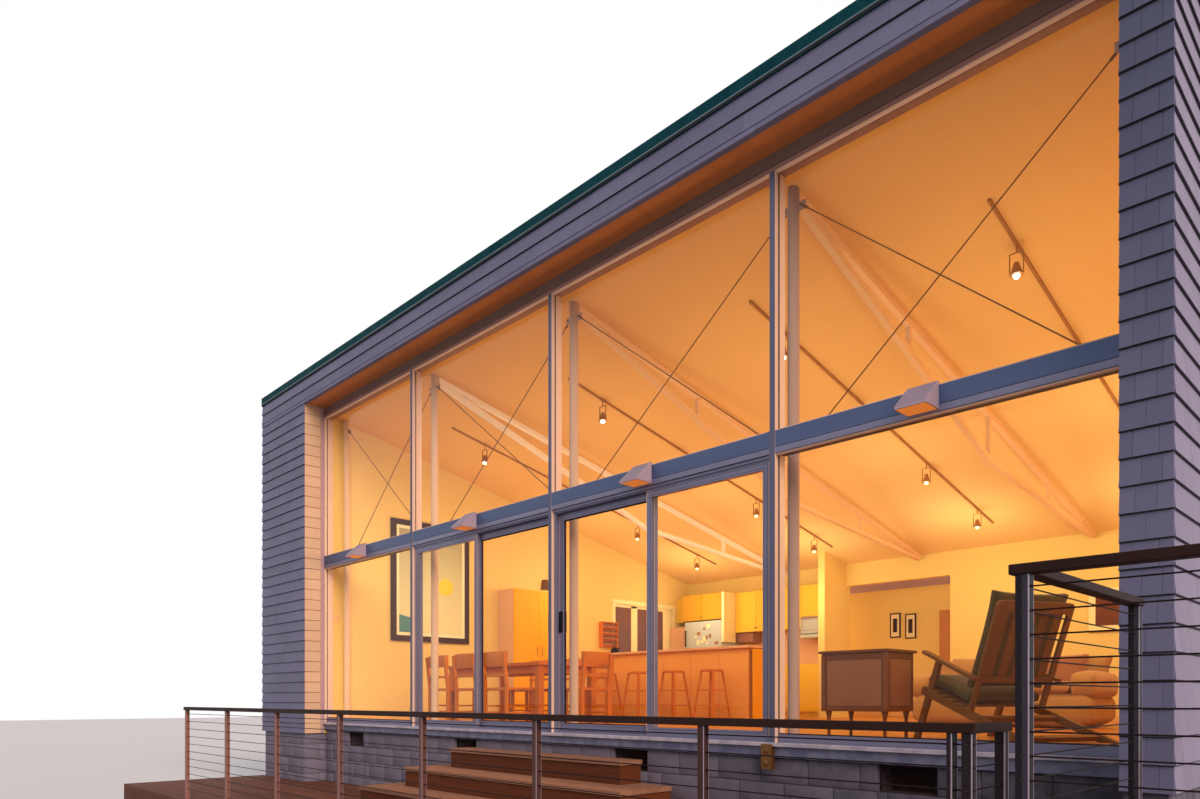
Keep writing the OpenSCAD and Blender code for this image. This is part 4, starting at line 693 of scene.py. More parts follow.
vent = dict(shift=-0.225, half=0.205, low=-0.305, top=-0.112, frame=0.012, wire=0.0014, pitchX=0.0128, pitchZ=0.0131)
ventX = [middleX + (i - 1.5) * columnPitch + vent["shift"] for i in range(4)]
ventHoles = [(x - vent["half"], x + vent["half"], vent["low"], 0.0) for x in ventX]
(footX0, footY0, _), (footX1, footY1, _) = span("foundation_sides")
blockTop = skirtZ + 0.01
courses = Solids(21)
blockWall(courses, openLeft - 0.02, openRight, groundZ, vent["top"], lambda u, out, z: (u, glassY - out, z), ventHoles)
for u0, u1, place in (
        (footX0 + 0.002, openLeft - 0.027, lambda u, out, z: (u, footY0 - out, z)),
        (footY0, glassY - 0.01, lambda u, out, z: (openLeft - 0.025 + out, u, z)),
        (openRight + 0.002, footX1 - 0.002, lambda u, out, z: (u, footY0 - out, z)),
        (footY0 + 0.002, glassY - 0.01, lambda u, out, z: (openRight - out, u, z)),
        (footY0, footY1, lambda u, out, z: (footX0 - out, u, z)),
        (footY0, footY1, lambda u, out, z: (footX1 + out, u, z)),
        (footX0, footX1, lambda u, out, z: (u, footY1 + out, z))):
    blockWall(courses, u0, u1, groundZ, blockTop, place)
courses.build("foundation_blocks", "blockPaint", slot="block_grey", smooth=50)

vents = Solids(22)
wire, meshY = vent["wire"], glassY + 0.0275
for x in ventX:
    left, low = x - vent["half"] + 0.007, vent["low"] + 0.007
    vents.ring(left, x + vent["half"] - 0.007, glassY + 0.02, glassY + 0.035, low, vent["top"], vent["frame"])
    for i in range(1, 31):
        vents.block(left + i * vent["pitchX"], left + wire + i * vent["pitchX"], meshY - 0.0015, meshY,
                    low + 0.008, vent["top"] - 0.008)
    for i in range(1, 13):
        vents.block(left + 0.008, x + 0.19, meshY, meshY + 0.0015, low + 0.008 + i * vent["pitchZ"],
                    low + 0.008 + wire + i * vent["pitchZ"])
vents.build("vent_screens", "rubber")
print("foundation laid")

# The window wall: cover strips, jambs, gaskets and beads
glazing = dict(cap=0.0235, capOut=0.0016, gasket=0.009, bead=0.012, jamb=0.02, band=0.043, pane=0.0096, proud=0.0075,
               half=0.025)
caps, jambs = Solids(31), Solids(30)
capFront = frameFront - glazing["capOut"]
for x in bayX[1:4]:
    half = glazing["cap"]
    caps.prism([(x - half, frameFront + 0.001), (x - half + 0.002, capFront), (x + half - 0.002, capFront),
                (x + half, frameFront + 0.001)], 0.0, headZ, axis="z")
for a in (openLeft, openRight - glazing["jamb"]):
    jambs.block(a, a + glazing["jamb"], frameFront, frameBack, 0.0, headZ)
    caps.block(a, a + glazing["jamb"], capFront, frameFront, 0.0, headZ)
caps.build("mullion_covers", "slate", bevel=0.0006, slot="frame_metal")
jambs.build("end_jambs", "beadCream", bevel=0.0006, slot="frame_metal")

seals, beads, bands, plates = Solids(32), Solids(35), Solids(36), Solids(34)
paneY, bandTop = glassY - glazing["pane"], transomLow + glazing["band"]
for i in range(4):
    a = openLeft + glazing["jamb"] if i == 0 else bayX[i] + glazing["half"]
    b = openRight - glazing["jamb"] if i == 3 else bayX[i + 1] - glazing["half"]
    seals.ring(a, b, glassY - 0.0095, glassY - 0.006, transomHigh, headZ, glazing["gasket"])
    beads.block(a, b, glassY - 0.03, paneY, transomHigh, transomHigh + glazing["bead"])
    beads.block(a, b, frameFront + 0.004, paneY, headZ - 0.008, headZ)
    if i in (0, 3):  # the bays without doors
        seals.ring(a, b, glassY - 0.0095, glassY - 0.006, 0.06, transomLow, glazing["gasket"])
        beads.block(a, b, frameFront + glazing["bead"], paneY, transomLow - glazing["bead"], transomLow)
    else:
        bands.block(a, b, glassY - 0.034, glassY - 0.02, transomLow - 0.022, transomLow - 0.001)
        seals.block(a, b, glassY - 0.0385, glassY - 0.033, transomLow - 0.001, transomLow + 0.003)
        bands.block(a + 0.001, b - 0.001, glassY - 0.0235, glassY - 0.0195, transomLow - 0.033, transomLow - 0.026)
    a = (openLeft if i == 0 else a) + 0.0005
    b = (openRight if i == 3 else b) - 0.0005
    bands.block(a, b, frameFront, frameFront + glazing["proud"], transomLow + 0.0005, bandTop)
    plates.block(a, b, frameFront - 0.0005, frameFront + glazing["proud"], bandTop + 0.003, transomHigh - 0.002)
for side in ("left", "right"):
    low, high = span(side + "_door_glass")
    pane = Solids(33)
    for y in (low.y - 0.003, high.y):
        pane.ring(low.x, high.x, y, y + 0.003, low.z, high.z, glazing["gasket"])
    pane.build(side + "_door_gasket", "rubber", body=side + "_door")
seals.build("glazing_gaskets", "rubber")
beads.build("glazing_beads", "beadCream", slot="frame_metal")
bands.build("transom_bands", "lilacMetal", bevel=0.0006, slot="frame_metal")
plates.build("transom_covers", "transomMetal", bevel=0.0008, slot="transom_metal")

# Grooves drawn as strips of painted shadow, light edges and small screws on the faces of the door panels
groove = dict(inset=0.013, width=0.0022, out=0.0006, edge=0.006, screw=0.0035, stile=0.055, screwX=0.028,
              screwZ=0.03)
handle = dict(foot=0.02, radius=0.008, near=0.012, far=0.0185)
for name, body in (("fixed_panels", "house"), ("left_door_sash", "left_door"), ("right_door_sash", "right_door")):
    shadowStrips, edges = Solids(37), Solids(38)
    for low, high in solidBoxes(name) if name == "fixed_panels" else [span(name)]:
        front, back = low.y - groove["out"], low.y + 0.0004
        for inset in (groove["inset"], groove["stile"] - groove["inset"]):
            shadowStrips.ring(low.x + inset, high.x - inset, front, back, low.z + inset, high.z - inset, groove["width"])
        for x in (low.x + 0.0005, high.x - groove["edge"] - 0.0005):
            edges.block(x, x + groove["edge"], front, back, low.z + 0.01, high.z - 0.01)
        for x in (low.x + groove["screwX"], high.x - groove["screwX"]):
            for z in (low.z + groove["screwZ"], high.z - groove["screwZ"]):
                edges.lathe((x, 0, z), [(low.y - 0.0012, 0.0008), (low.y - 0.001, groove["screw"]),
                                        (back, groove["screw"])], axis="y", sides=10)
    shadowStrips.build(name + "_groove_shadows", "shadowLine", body=body)
    edges.build(name + "_edges", "beadCream", body=body, slot="frame_metal")
for body in ("left_door", "right_door"):
    low, high = span(body + "_handle")
    mounts = Solids(39)
    for z in (low.z + handle["foot"], high.z - handle["foot"]):
        for y0, y1 in ((low.y + handle["near"], low.y + handle["far"]),
                       (high.y - handle["far"], high.y - handle["near"])):
            mounts.lathe(((low.x + high.x) / 2, 0, z), [(y0, handle["radius"]), (y1, handle["radius"])], axis="y",
                         sides=12)
    mounts.build(body + "_handle_feet", "black", body=body, slot="handle_black")

for name, look, bevel in (
        ("mullions", "beadCream", 0.002), ("transoms", "transomMetal", 0.002), ("window_head", "headFrameReflection", 0.002),
        ("sill_rails", "lilacMetal", 0.0015), ("door_frames", "lilacMetal", 0.0015),
        ("fixed_panels", "lilacMetal", 0.002), ("left_door_sash", "lilacMetal", 0.0015),
        ("right_door_sash", "lilacMetal", 0.0015), ("left_door_handle", "black", 0.005),
        ("right_door_handle", "black", 0.005), ("upper_glass", "clearGlass", 0), ("lower_glass", "clearGlass", 0),
        ("left_door_glass", "clearGlass", 0), ("right_door_glass", "clearGlass", 0),
        ("side_window", "palePanel", 0.003), ("window_sill", "sillPaint", 0.004), ("trim_boards", "trimPaint", 0.003),
        ("soffit", "soffitPaintedGlow", 0), ("wing_wall", "shinglePaint", 0), ("left_wall", "shinglePaint", 0),
        ("right_wall", "sidePaintLit", 0), ("back_wall", "shinglePaint", 0), ("front_fascia", "shinglePaint", 0),
        ("foundation_front", "blockPaint", 0), ("foundation_wing", "blockPaint", 0),
        ("foundation_sides", "blockPaint", 0), ("foundation_back", "blockPaint", 0), ("floor_platform", "floorOak", 0),
        ("room_side_wall", "plaster", 0), ("room_partition", "plaster", 0), ("roof_deck", "ceilingPaint", 0),
        ("roof_sheet", "roofGreen", 0.003), ("roof_edge", "roofGreen", 0.003), ("steel_columns", "steelPaint", 0.002),
        ("cross_braces", "rodSteel", 0), ("roof_trusses", "trussPaint", 0.004), ("wall_lights", "lampShell", 0.002),
        ("ceiling_lights", "trackBrown", 0.001), ("deck_joists", "deckWood", 0.003), ("deck_posts", "deckWood", 0.004),
        ("rail_posts", "postSteel", 0.002), ("cap_rails", "capWood", 0.005), ("rail_cables", "cableSteel", 0),
        ("bar_counter", "barPly", 0.004), ("bar_stools", "beech", 0.004), ("kitchen_cabinets", "maple", 0.003),
        ("kitchen_appliances", "enamel", 0.008), ("tall_cabinets", "amberPanel", 0.003),
        ("dining_table", "beech", 0.004), ("dining_chairs", "beech", 0.004), ("sideboard", "darkWood", 0.003),
        ("lounge_chair", "teak", 0.005), ("picture_frames", "pictureBlack", 0.002)):
    dress(name, look, bevel)
print("frame dressed")

# Thin linings, so that the walls' inner faces are plaster, and boards along the foot of the walls
lining = dict(t=0.004, skirt=0.09, skirtT=0.012, passage=0.155, hallLeft=6.7, hallEnd=6.05)
sheets, hallRoof, skirts = Solids(50), Solids(52), Solids(51)
innerLeft, innerRight = span("room_side_wall")[1].x, openRight
hallBack, hallFront = span("back_wall")[0].y, span("room_partition")[1].y
t, roomFront, skirtT, skirt = lining["t"], frameBack + 0.01, lining["skirtT"], lining["skirt"]
sheets.prism([(roomFront, 0.0), (hallBack, 0.0), (hallBack, ceilingZ(hallBack)), (roomFront, ceilingZ(roomFront))],
             innerRight - t, innerRight, "x", 0.5)
sheets.block(lining["passage"], innerRight - t, hallBack - t, hallBack, 0.0, ceilingZ(hallBack), 0.5)
sheets.build("plaster_linings", "plaster", slot="inner_wall")
# painted shade: the hall ceiling's finish is lilac grey for the shade over the hall
low, high = ceilingZ(hallBack - t), ceilingZ(hallFront)
hallRoof.prism([(hallFront, high), (hallBack - t, low), (hallBack - t, low - t), (hallFront, high - t)], innerLeft,
               innerRight - t, "x", 0.5)
hallRoof.build("hall_ceiling", "hallCeilingShaded", slot="inner_wall")
for x0, x1, y0, y1 in (
        (innerLeft, innerLeft + skirtT, roomFront, span("kitchen_appliances")[0].y + 0.1),
        (lining["hallLeft"], innerRight - t, partitionY - skirtT, partitionY),
        (innerLeft, lining["hallEnd"], hallBack - t - skirtT, hallBack - t),
        (innerRight - t - skirtT, innerRight - t, roomFront, partitionY)):
    skirts.block(x0, x1, y0, y1, 0.0, skirt)
skirts.build("skirting_boards", "skirting", bevel=0.002, slot="inner_wall")
print("rooms lined")

# Lamps: glowing lenses under the spots, sloping tops and orange lenses on the wall lights
spots = dict(first=2.0, last=6.63, drop=0.255, lens=0.04, bulb=0.026)
lenses, bulbs = Solids(53), Solids(54)
for low, high in solidBoxes("ceiling_lights"):
    for n in range(4):
        y = spots["first"] + n * (spots["last"] - spots["first"]) / 3
        glow = bulbs if n == 0 else lenses
        arc = [(-math.cos(a) * spots["bulb"] - 0.006, math.sin(a) * spots["bulb"]) for a in (0.1, 0.5, 1.0, 1.57, 2.2)]
        glow.lathe(((low.x + high.x) / 2, y, ceilingZ(y) - spots["drop"]),
                   arc + [(0.002, spots["lens"]), (0.006, spots["lens"])], sides=16)
bulbs.build("spot_bulbs", "bulbGlow")
lenses.build("spot_lenses", "bulbWarm")
wallLight = dict(lift=0.02, back=0.012, inset=0.004, top=0.0016, lens=0.008, lensT=0.0012, screw=0.004)
tops, glass, screws = Solids(55), Solids(56), Solids(57)
for low, high in solidBoxes("wall_lights"):
    foot = Vector((low.y, low.z + wallLight["lift"]))
    peak = Vector((high.y - wallLight["back"], high.z))
    run = (peak - foot).normalized() * wallLight["inset"]
    off = Vector((-run.y, run.x)) / wallLight["inset"] * wallLight["top"]
    tops.prism([foot + run, peak - run, peak - run + off, foot + run + off], low.x + wallLight["inset"],
               high.x - wallLight["inset"])
    glass.block(low.x + wallLight["lens"], high.x - wallLight["lens"], low.y + wallLight["lens"],
                high.y - wallLight["back"], low.z - wallLight["lensT"], low.z + 0.001)
    for x, way in ((low.x, -1), (high.x, 1)):
        screws.lathe((0, high.y - wallLight["lift"], low.z + wallLight["lift"]),
                     [(x - 0.0005 * way, wallLight["screw"]), (x + 0.0012 * way, wallLight["screw"]),
                      (x + 0.0016 * way, 0.001)], axis="x", sides=10)
tops.build("wall_light_tops", "lampTop", slot="light_metal")
glass.build("wall_light_lenses", "lensGlow")
screws.build("wall_light_screws", "black")

# Steel frame: bolts on the base plates, and painted plates where the rods meet the columns
joint = dict(bolt=0.011, reach=0.055, plate=0.061, near=0.0045, far=0.0065, pipe=0.0445, inset=0.03, end=0.075)
bolts, plates = Solids(58), Solids(59)
columnX = [openLeft + joint["end"], middleX - columnPitch, middleX, middleX + columnPitch, openRight - joint["end"]]
columnY = (span("steel_columns")[0].y + span("steel_columns")[1].y) / 2
braceLow, braceHigh = span("cross_braces")
for x in columnX:
    for sx in (-1, 1):
        for sy in (-1, 1):
            at = (x + sx * joint["reach"], columnY + sy * joint["reach"], 0)
            bolts.lathe(at, [(0.0115, joint["bolt"]), (0.021, joint["bolt"]), (0.0225, joint["bolt"] - 0.002)], sides=6)
            bolts.lathe(at, [(0.02, 0.005), (0.029, 0.005), (0.03, 0.004)], sides=10)
for i in range(4):
    gap, half = joint["pipe"] + joint["inset"], joint["plate"] / 2
    for x in (columnX[i] + gap, columnX[i + 1] - gap):
        for z in (braceLow.z + joint["inset"], braceHigh.z - joint["inset"]):
            for y0, y1 in ((columnY - joint["far"], columnY - joint["near"]),
                           (columnY + joint["near"], columnY + joint["far"])):
                plates.block(x - half, x + half, y0, y1, z - half, z + half)
bolts.build("column_bolts", "boltSteel")
plates.build("brace_plates", "steelPaint", slot="steel_white")
print("lamps and steel done")

# Side window: opaque dark panes of painted shade where the dusk shows through, wide stiles and a flat casing over the
# frame's two faces
sash = dict(pane=0.0015, edge=0.03, stile=0.165, casing=0.075, proud=0.012, inFace=1.3605, outFace=0.0395,
            middle=6.372, last=0.28, rail=0.04)
shadePanes, rails = Solids(60), Solids(61)
y0, y1, z0, z1 = window[0].y, window[1].y, window[0].z + sash["edge"], window[1].z - sash["edge"]
for x, way in ((sash["inFace"], 1), (sash["outFace"], -1)):
    shadePanes.block(*sorted((x, x + way * sash["pane"])), y0 + sash["edge"], y1 - sash["last"] + 0.01, z0, z1, 0.5)
    faces = sorted((x - way * 0.004, x + way * sash["proud"]))
    rails.block(*faces, sash["middle"], sash["middle"] + sash["stile"], z0, z1)
    rails.block(*faces, y1 - sash["last"], y1 - sash["edge"], z0, z1)
    for z in (z0, z1 - sash["rail"]):
        rails.block(*faces, y0 + sash["edge"], y1 - sash["last"], z, z + sash["rail"])
rails.ring(innerLeft, innerLeft + sash["proud"], y0 - 0.055, y1 + 0.035, z0 - 0.09, z1 + 0.09, sash["casing"], axis="x")
shadePanes.build("side_shade_panes", "duskShadePane")
rails.build("side_window_stiles", "palePanel", bevel=0.002, slot="sill_white")

# Framed print: dark frame, narrow mat, a field that grows paler downwards, a low band and a disc
artwork = dict(frame=0.08, mat=0.045, strips=14, disc=0.13, discIn=0.3, discUp=0.72, sheet=0.0012, ink=0.0022)
low, high = solidBoxes("picture_frames")[0]
edge, mat, field, band, disc = Solids(61), Solids(62), Solids(63), Solids(64), Solids(65)
x = high.x + 0.0015
mat.block(high.x - 0.006, x, low.y + 0.03, high.y - 0.03, low.z + 0.03, high.z - 0.03, 0.5)
edge.ring(high.x - 0.002, high.x + 0.012, low.y - 0.002, high.y + 0.002, low.z - 0.002, high.z + 0.002,
          artwork["frame"], axis="x")
rim = artwork["frame"] + artwork["mat"]
y0, y1, z0, z1 = low.y + rim, high.y - rim, low.z + rim, high.z - rim
sheet, ink = x + artwork["sheet"], x + artwork["ink"]
step = (z1 - z0) / artwork["strips"]
for n in range(artwork["strips"]):
    field.block(x, sheet, y0, y1, z0 + n * step, z0 + (n + 1) * step, 1 - n / artwork["strips"])
band.prism([(y0, z0), (y0 + 0.34, z0), (y0 + 0.3, z0 + 0.2), (y0, z0 + 0.26)], sheet, ink, "x", 0.5)
disc.lathe((0, y1 - artwork["discIn"], z0 + artwork["discUp"]), [(sheet, artwork["disc"]), (ink, artwork["disc"])],
           axis="x", sides=40)
for name, solids, look in (("frame", edge, "pictureBlack"), ("mat", mat, "paper"), ("field", field, "printSky"),
                           ("band", band, "printTeal"), ("disc", disc, "printSun")):
    solids.build("poster_" + name, look, slot="picture_black")
hallPrint = dict(frame=0.016, side=0.06, top=0.1)
mats, inks = Solids(66), Solids(67)
for low, high in solidBoxes("picture_frames")[1:3]:
    frameW, sideW, topW = hallPrint["frame"], hallPrint["side"], hallPrint["top"]
    mats.block(low.x + frameW, high.x - frameW, low.y + 0.001, low.y + 0.004, low.z + frameW, high.z - frameW, 0.5)
    inks.block(low.x + sideW, high.x - sideW, low.y, low.y + 0.0012, low.z + topW, high.z - topW, 0.5)
mats.build("hall_mats", "paper", slot="picture_black")
inks.build("hall_prints", "rubber", slot="picture_black")
panel = dict(x0=8.633, x1=9.22, z0=1.237, z1=1.832, casing=0.083, pitch=0.0235, slats=18)
casing, ground, slats = Solids(68), Solids(68), Solids(69)
y, rim = solidBoxes("picture_frames")[3][0].y, panel["casing"]
inX0, inX1, inZ0, inZ1 = panel["x0"] + rim, panel["x1"] - rim, panel["z0"] + rim, panel["z1"] - rim
casing.ring(panel["x0"], panel["x1"], y - 0.014, y + 0.02, panel["z0"], panel["z1"], rim)
# painted shade: a dark backing behind the slats for the dark window behind the blind
ground.block(inX0, inX1, y - 0.003, y + 0.02, inZ0, inZ1)
for n in range(panel["slats"]):
    z = inZ0 + n * panel["pitch"]
    slats.prism([(y - 0.009, z + 0.002), (y - 0.004, z + 0.018), (y - 0.002, z + 0.018), (y - 0.002, z + 0.002)],
                inX0, inX1, "x")
casing.build("panel_casing", "palePanel", bevel=0.002, slot="picture_black")
ground.build("panel_shade_backing", "rubber", slot="picture_black")
slats.build("panel_slats", "darkWood", slot="picture_black")
print("pictures hung")

# Kitchen: doors on the cabinets, the deep cabinet over the refrigerator, and the things on the walls
kitchen = dict(door=0.018, knob=0.012, left=2.84, hood=4.25, right=4.79, wallFront=7.65, baseFront=7.36, low=1.55,
               overHood=1.75, top=2.29, deepLeft=1.83, deepRight=2.78, deepFront=7.32, deepLow=1.8, baseLow=0.1,
               baseTop=0.87, hoodOutline=((7.6, 1.378), (7.6, 1.412), (7.66, 1.449), (7.99, 1.449), (7.99, 1.37),
                                          (7.61, 1.37)),
               knobAt=((3.29, 1.62), (3.33, 1.62)), deepKnobAt=((2.28, 1.86), (2.32, 1.86)))
panels = dict(cupboard=(1.402, 1.88, 7.45, 7.99, 0.0, 1.72), back=(2.86, kitchen["right"], 7.988, 7.998, 0.93, 1.54),
              side=(innerLeft, 1.53, 7.64, 7.655, 0.95, 1.54))
microwave = dict(out=0.003, ventLow=0.035, ventHigh=0.008, doorLeft=0.04, doorRight=0.15, line=0.006, keysLeft=0.12,
                 keysRight=0.03, margin=0.05)
fridge = dict(split=1.28, seam=0.008, handleX=0.035, handleW=0.025, handleOut=0.045, handleT=0.017, low=1.32,
              high=1.62, magnets=11, magnetLow=1.34, magnetHigh=1.7)


def doorRow(solids, x0, x1, count, y, z0, z1):
    w, front = (x1 - x0) / count, y - kitchen["door"]
    for n in range(count):
        a, b = x0 + n * w, x0 + (n + 1) * w
        solids.prism([(a + 0.002, y), (b - 0.002, y), (b - 0.004, front), (a + 0.004, front)], z0 + 0.003, z1 - 0.003,
                     "z")


fronts, pale, peach, dark, knobs = Solids(70), Solids(71), Solids(72), Solids(73), Solids(74)
doorRow(fronts, kitchen["left"], kitchen["hood"], 3, kitchen["wallFront"], kitchen["low"], kitchen["top"])
doorRow(fronts, kitchen["hood"], kitchen["right"], 1, kitchen["wallFront"], kitchen["overHood"], kitchen["top"])
doorRow(fronts, kitchen["left"], kitchen["right"], 4, kitchen["baseFront"], kitchen["baseLow"],
        kitchen["baseTop"])
deep, hood = Solids(69), Solids(69)
deep.block(kitchen["deepLeft"], kitchen["deepRight"], kitchen["deepFront"], kitchen["wallFront"], kitchen["deepLow"],
           kitchen["top"])
doorRow(deep, kitchen["deepLeft"], kitchen["deepRight"], 2, kitchen["deepFront"], kitchen["deepLow"], kitchen["top"])
deep.build("kitchen_deep_cabinet", "honeyPanel", bevel=0.002, slot="maple")
hood.prism(kitchen["hoodOutline"], kitchen["hood"] + 0.002, kitchen["right"] + 0.002, "x")
hood.build("kitchen_hood", "enamel", bevel=0.004, slot="white_enamel")
for places, front in ((kitchen["knobAt"], kitchen["wallFront"]), (kitchen["deepKnobAt"], kitchen["deepFront"])):
    face = front - kitchen["door"]
    for x, z in places:
        knobs.lathe((x, 0, z), [(face, 0.005), (face - 0.012, 0.005), (face - 0.016, kitchen["knob"]),
                                (face - 0.024, kitchen["knob"]), (face - 0.027, 0.006)], axis="y", sides=14)
pale.block(kitchen["deepRight"] + 0.002, kitchen["left"], 7.3, 7.652, 1.37, kitchen["top"])
for box in panels.values():
    peach.block(*box)
dark.block(2.784, 3.2, 7.7, 7.985, 1.37, 1.545)
low, high = solidBoxes("kitchen_appliances")[1]  # the microwave: a vent over its door, a frame and a panel of keys
face, margin = low.y - microwave["out"], microwave["margin"]
dark.block(low.x + 0.01, high.x - 0.012, face - 0.001, low.y + 0.001, high.z - microwave["ventLow"],
           high.z - microwave["ventHigh"])
dark.ring(low.x + microwave["doorLeft"], high.x - microwave["doorRight"], face, low.y + 0.001, low.z + margin,
          high.z - margin, microwave["line"])
pale.block(high.x - microwave["keysLeft"], high.x - microwave["keysRight"], face, low.y + 0.001, low.z + margin,
           high.z - margin - 0.01)
low, high = solidBoxes("kitchen_appliances")[0]  # the refrigerator: the joint of its doors, a pull, small magnets
face = low.y
dark.block(low.x + 0.004, high.x - 0.004, face - 0.0005, face + 0.002, fridge["split"],
           fridge["split"] + fridge["seam"])
knobs.block(low.x + fridge["handleX"], low.x + fridge["handleX"] + fridge["handleW"], face - fridge["handleOut"],
            face - fridge["handleOut"] + fridge["handleT"], fridge["low"], fridge["high"])
for z in (fridge["low"] + 0.01, fridge["high"] - 0.03):
    knobs.block(low.x + 0.04, low.x + 0.055, face - 0.03, face, z, z + 0.02)
dice = random.Random(7)
for n in range(fridge["magnets"]):
    x, z = dice.uniform(low.x + 0.25, high.x - 0.1), dice.uniform(fridge["magnetLow"], fridge["magnetHigh"])
    w, h = dice.uniform(0.018, 0.05), dice.uniform(0.018, 0.055)
    (dark if n % 2 else pale).block(x - w, x + w, face - 0.003, face, z - h, z + h)
for name, solids, look, bevel, slot in (
        ("fronts", fronts, "maple", 0.002, "maple"), ("end_panel", pale, "palePanel", 0.001, "maple"),
        ("cupboard", peach, "peachPanel", 0.003, "maple"), ("dark_parts", dark, "jambBrown", 0, "dark_wood"),
        ("knobs", knobs, "brass", 0, "handle_black")):
    solids.build("kitchen_" + name, look, bevel=bevel, slot=slot)

# The bar: a lipped top, a framed end, and seams between the boards of its front
bar = dict(front=5.32, lip=0.02, lipLow=0.036, kick=0.05, seamAt=(1.98, 2.56, 3.14, 3.72, 4.3), seam=0.0015,
           seamY=(5.298, 5.3015), endY=(5.55, 5.85), endZ=(0.12, 0.75), endLine=0.012)
low, high = span("bar_counter")
barTop, barEnd, barLines = Solids(75), Solids(76), Solids(77)
barTop.ring(low.x + 0.002, high.x + 0.004, low.y - 0.004, high.y + 0.004, high.z - bar["lipLow"], high.z - 0.004,
            bar["lip"])
barEnd.block(high.x - 0.001, high.x + 0.002, bar["front"], high.y - 0.02, 0.0, high.z - bar["kick"])
barEnd.ring(high.x - 0.02, high.x + 0.004, *bar["endY"], *bar["endZ"], bar["endLine"], axis="x")
for x in bar["seamAt"]:
    barLines.block(x - bar["seam"], x + bar["seam"], *bar["seamY"], 0.0, high.z - bar["kick"])
barTop.build("bar_top_edge", "peachPanel", bevel=0.002, slot="maple")
barEnd.build("bar_end", "amberPanel", slot="maple")
barLines.build("bar_seams", "jambBrown", slot="dark_wood")

# Spice rack with four shelves of jars, and a kettle on the bar
shelf = dict(y0=5.5, y1=5.9, z0=1.26, z1=1.72, depth=0.09, board=0.014, pitch=0.11, back=0.006, lip=0.08, jars=8,
             jarX=0.042, jarFirst=0.035, jarPitch=0.047,
             jar=((0.0, 0.017), (0.055, 0.018), (0.062, 0.012), (0.064, 0.015), (0.078, 0.015)))
pot = dict(at=(1.7, 5.6, 1.12), spout=0.01, handle=0.006,
           body=((0.0, 0.07), (0.012, 0.078), (0.06, 0.075), (0.1, 0.05), (0.115, 0.03), (0.12, 0.012), (0.135, 0.012),
                 (0.14, 0.005)))
rack, jars, kettle = Solids(78), Solids(79), Solids(80)
y0, y1 = shelf["y0"] + 0.01, shelf["y1"] - 0.01
rack.ring(innerLeft, innerLeft + shelf["depth"], shelf["y0"], shelf["y1"], shelf["z0"], shelf["z1"], shelf["board"],
          axis="x")
rack.block(innerLeft, innerLeft + shelf["back"], y0, y1, shelf["z0"] + 0.01, shelf["z1"] - 0.01)
for n in range(4):
    z = shelf["z0"] + shelf["board"] + n * shelf["pitch"]
    if n:
        rack.block(innerLeft + shelf["back"], innerLeft + shelf["lip"] + 0.005, y0, y1, z - 0.008, z)
    rack.block(innerLeft + shelf["lip"], innerLeft + shelf["lip"] + 0.008, y0, y1, z + 0.02, z + 0.034)
    for m in range(shelf["jars"]):
        jars.lathe((innerLeft + shelf["jarX"], shelf["y0"] + shelf["jarFirst"] + m * shelf["jarPitch"], z),
                   shelf["jar"], sides=10)
rack.build("spice_rack", "beech", bevel=0.001, slot="furniture_wood")
jars.build("spice_jars", "jambBrown", smooth=50, slot="dark_wood")
kettle.lathe(pot["at"], pot["body"], sides=20)
kettle.tube([(1.7, 5.54, 1.2), (1.7, 5.55, 1.27), (1.7, 5.6, 1.295), (1.7, 5.65, 1.27), (1.7, 5.66, 1.2)],
            pot["handle"])
kettle.tube([(1.76, 5.6, 1.17), (1.8, 5.6, 1.2), (1.83, 5.6, 1.235)], pot["spout"])
kettle.build("kettle", "black", smooth=60)

# Tall cabinet in the room, and the cupboard in the hall
tall = dict(split=3.755, kick=0.08, door=0.016, pullAt=(3.7, 3.81), pullLow=1.02, pullLength=0.14, pullOut=0.045,
            pull=0.005)
low, high = solidBoxes("tall_cabinets")[0]
doors, pulls, side = Solids(81), Solids(82), Solids(82)
for y0, y1 in ((low.y, tall["split"]), (tall["split"], high.y)):
    doors.prism([(y0 + 0.002, low.z + tall["kick"]), (y1 - 0.002, low.z + tall["kick"]), (y1 - 0.002, high.z - 0.004),
                 (y0 + 0.002, high.z - 0.004)], high.x - 0.001, high.x + tall["door"], "x")
for y in tall["pullAt"]:
    x0, x1, z0, z1 = high.x + 0.014, high.x + tall["pullOut"], tall["pullLow"], tall["pullLow"] + tall["pullLength"]
    pulls.tube([(x0, y, z0), (x1, y, z0 + 0.01), (x1, y, z1 - 0.01), (x0, y, z1)], tall["pull"])
side.block(low.x + 0.002, high.x - 0.002, low.y - 0.006, low.y + 0.001, low.z + 0.002, high.z - 0.002)
doors.build("tall_cabinet_doors", "amberPanel", bevel=0.002, slot="maple")
side.build("tall_cabinet_side", "peachPanel", bevel=0.001, slot="maple")
pulls.build("tall_cabinet_pulls", "brass", smooth=60, slot="handle_black")
low, high = solidBoxes("tall_cabinets")[1]
hallDoor = dict(kick=0.06, knobIn=0.04, knobZ=1.0)
doors, knobs = Solids(84), Solids(85)
doorRow(doors, low.x, high.x, 2, low.y, hallDoor["kick"], high.z)
for way in (-1, 1):
    knobs.lathe(((low.x + high.x) / 2 + way * hallDoor["knobIn"], 0, hallDoor["knobZ"]),
                [(low.y - 0.018, 0.005), (low.y - 0.03, 0.012), (low.y - 0.04, 0.006)], axis="y", sides=12)
doors.build("hall_cupboard_doors", "doorOrange", bevel=0.002, slot="maple")
knobs.build("hall_cupboard_knobs", "brass", slot="handle_black")

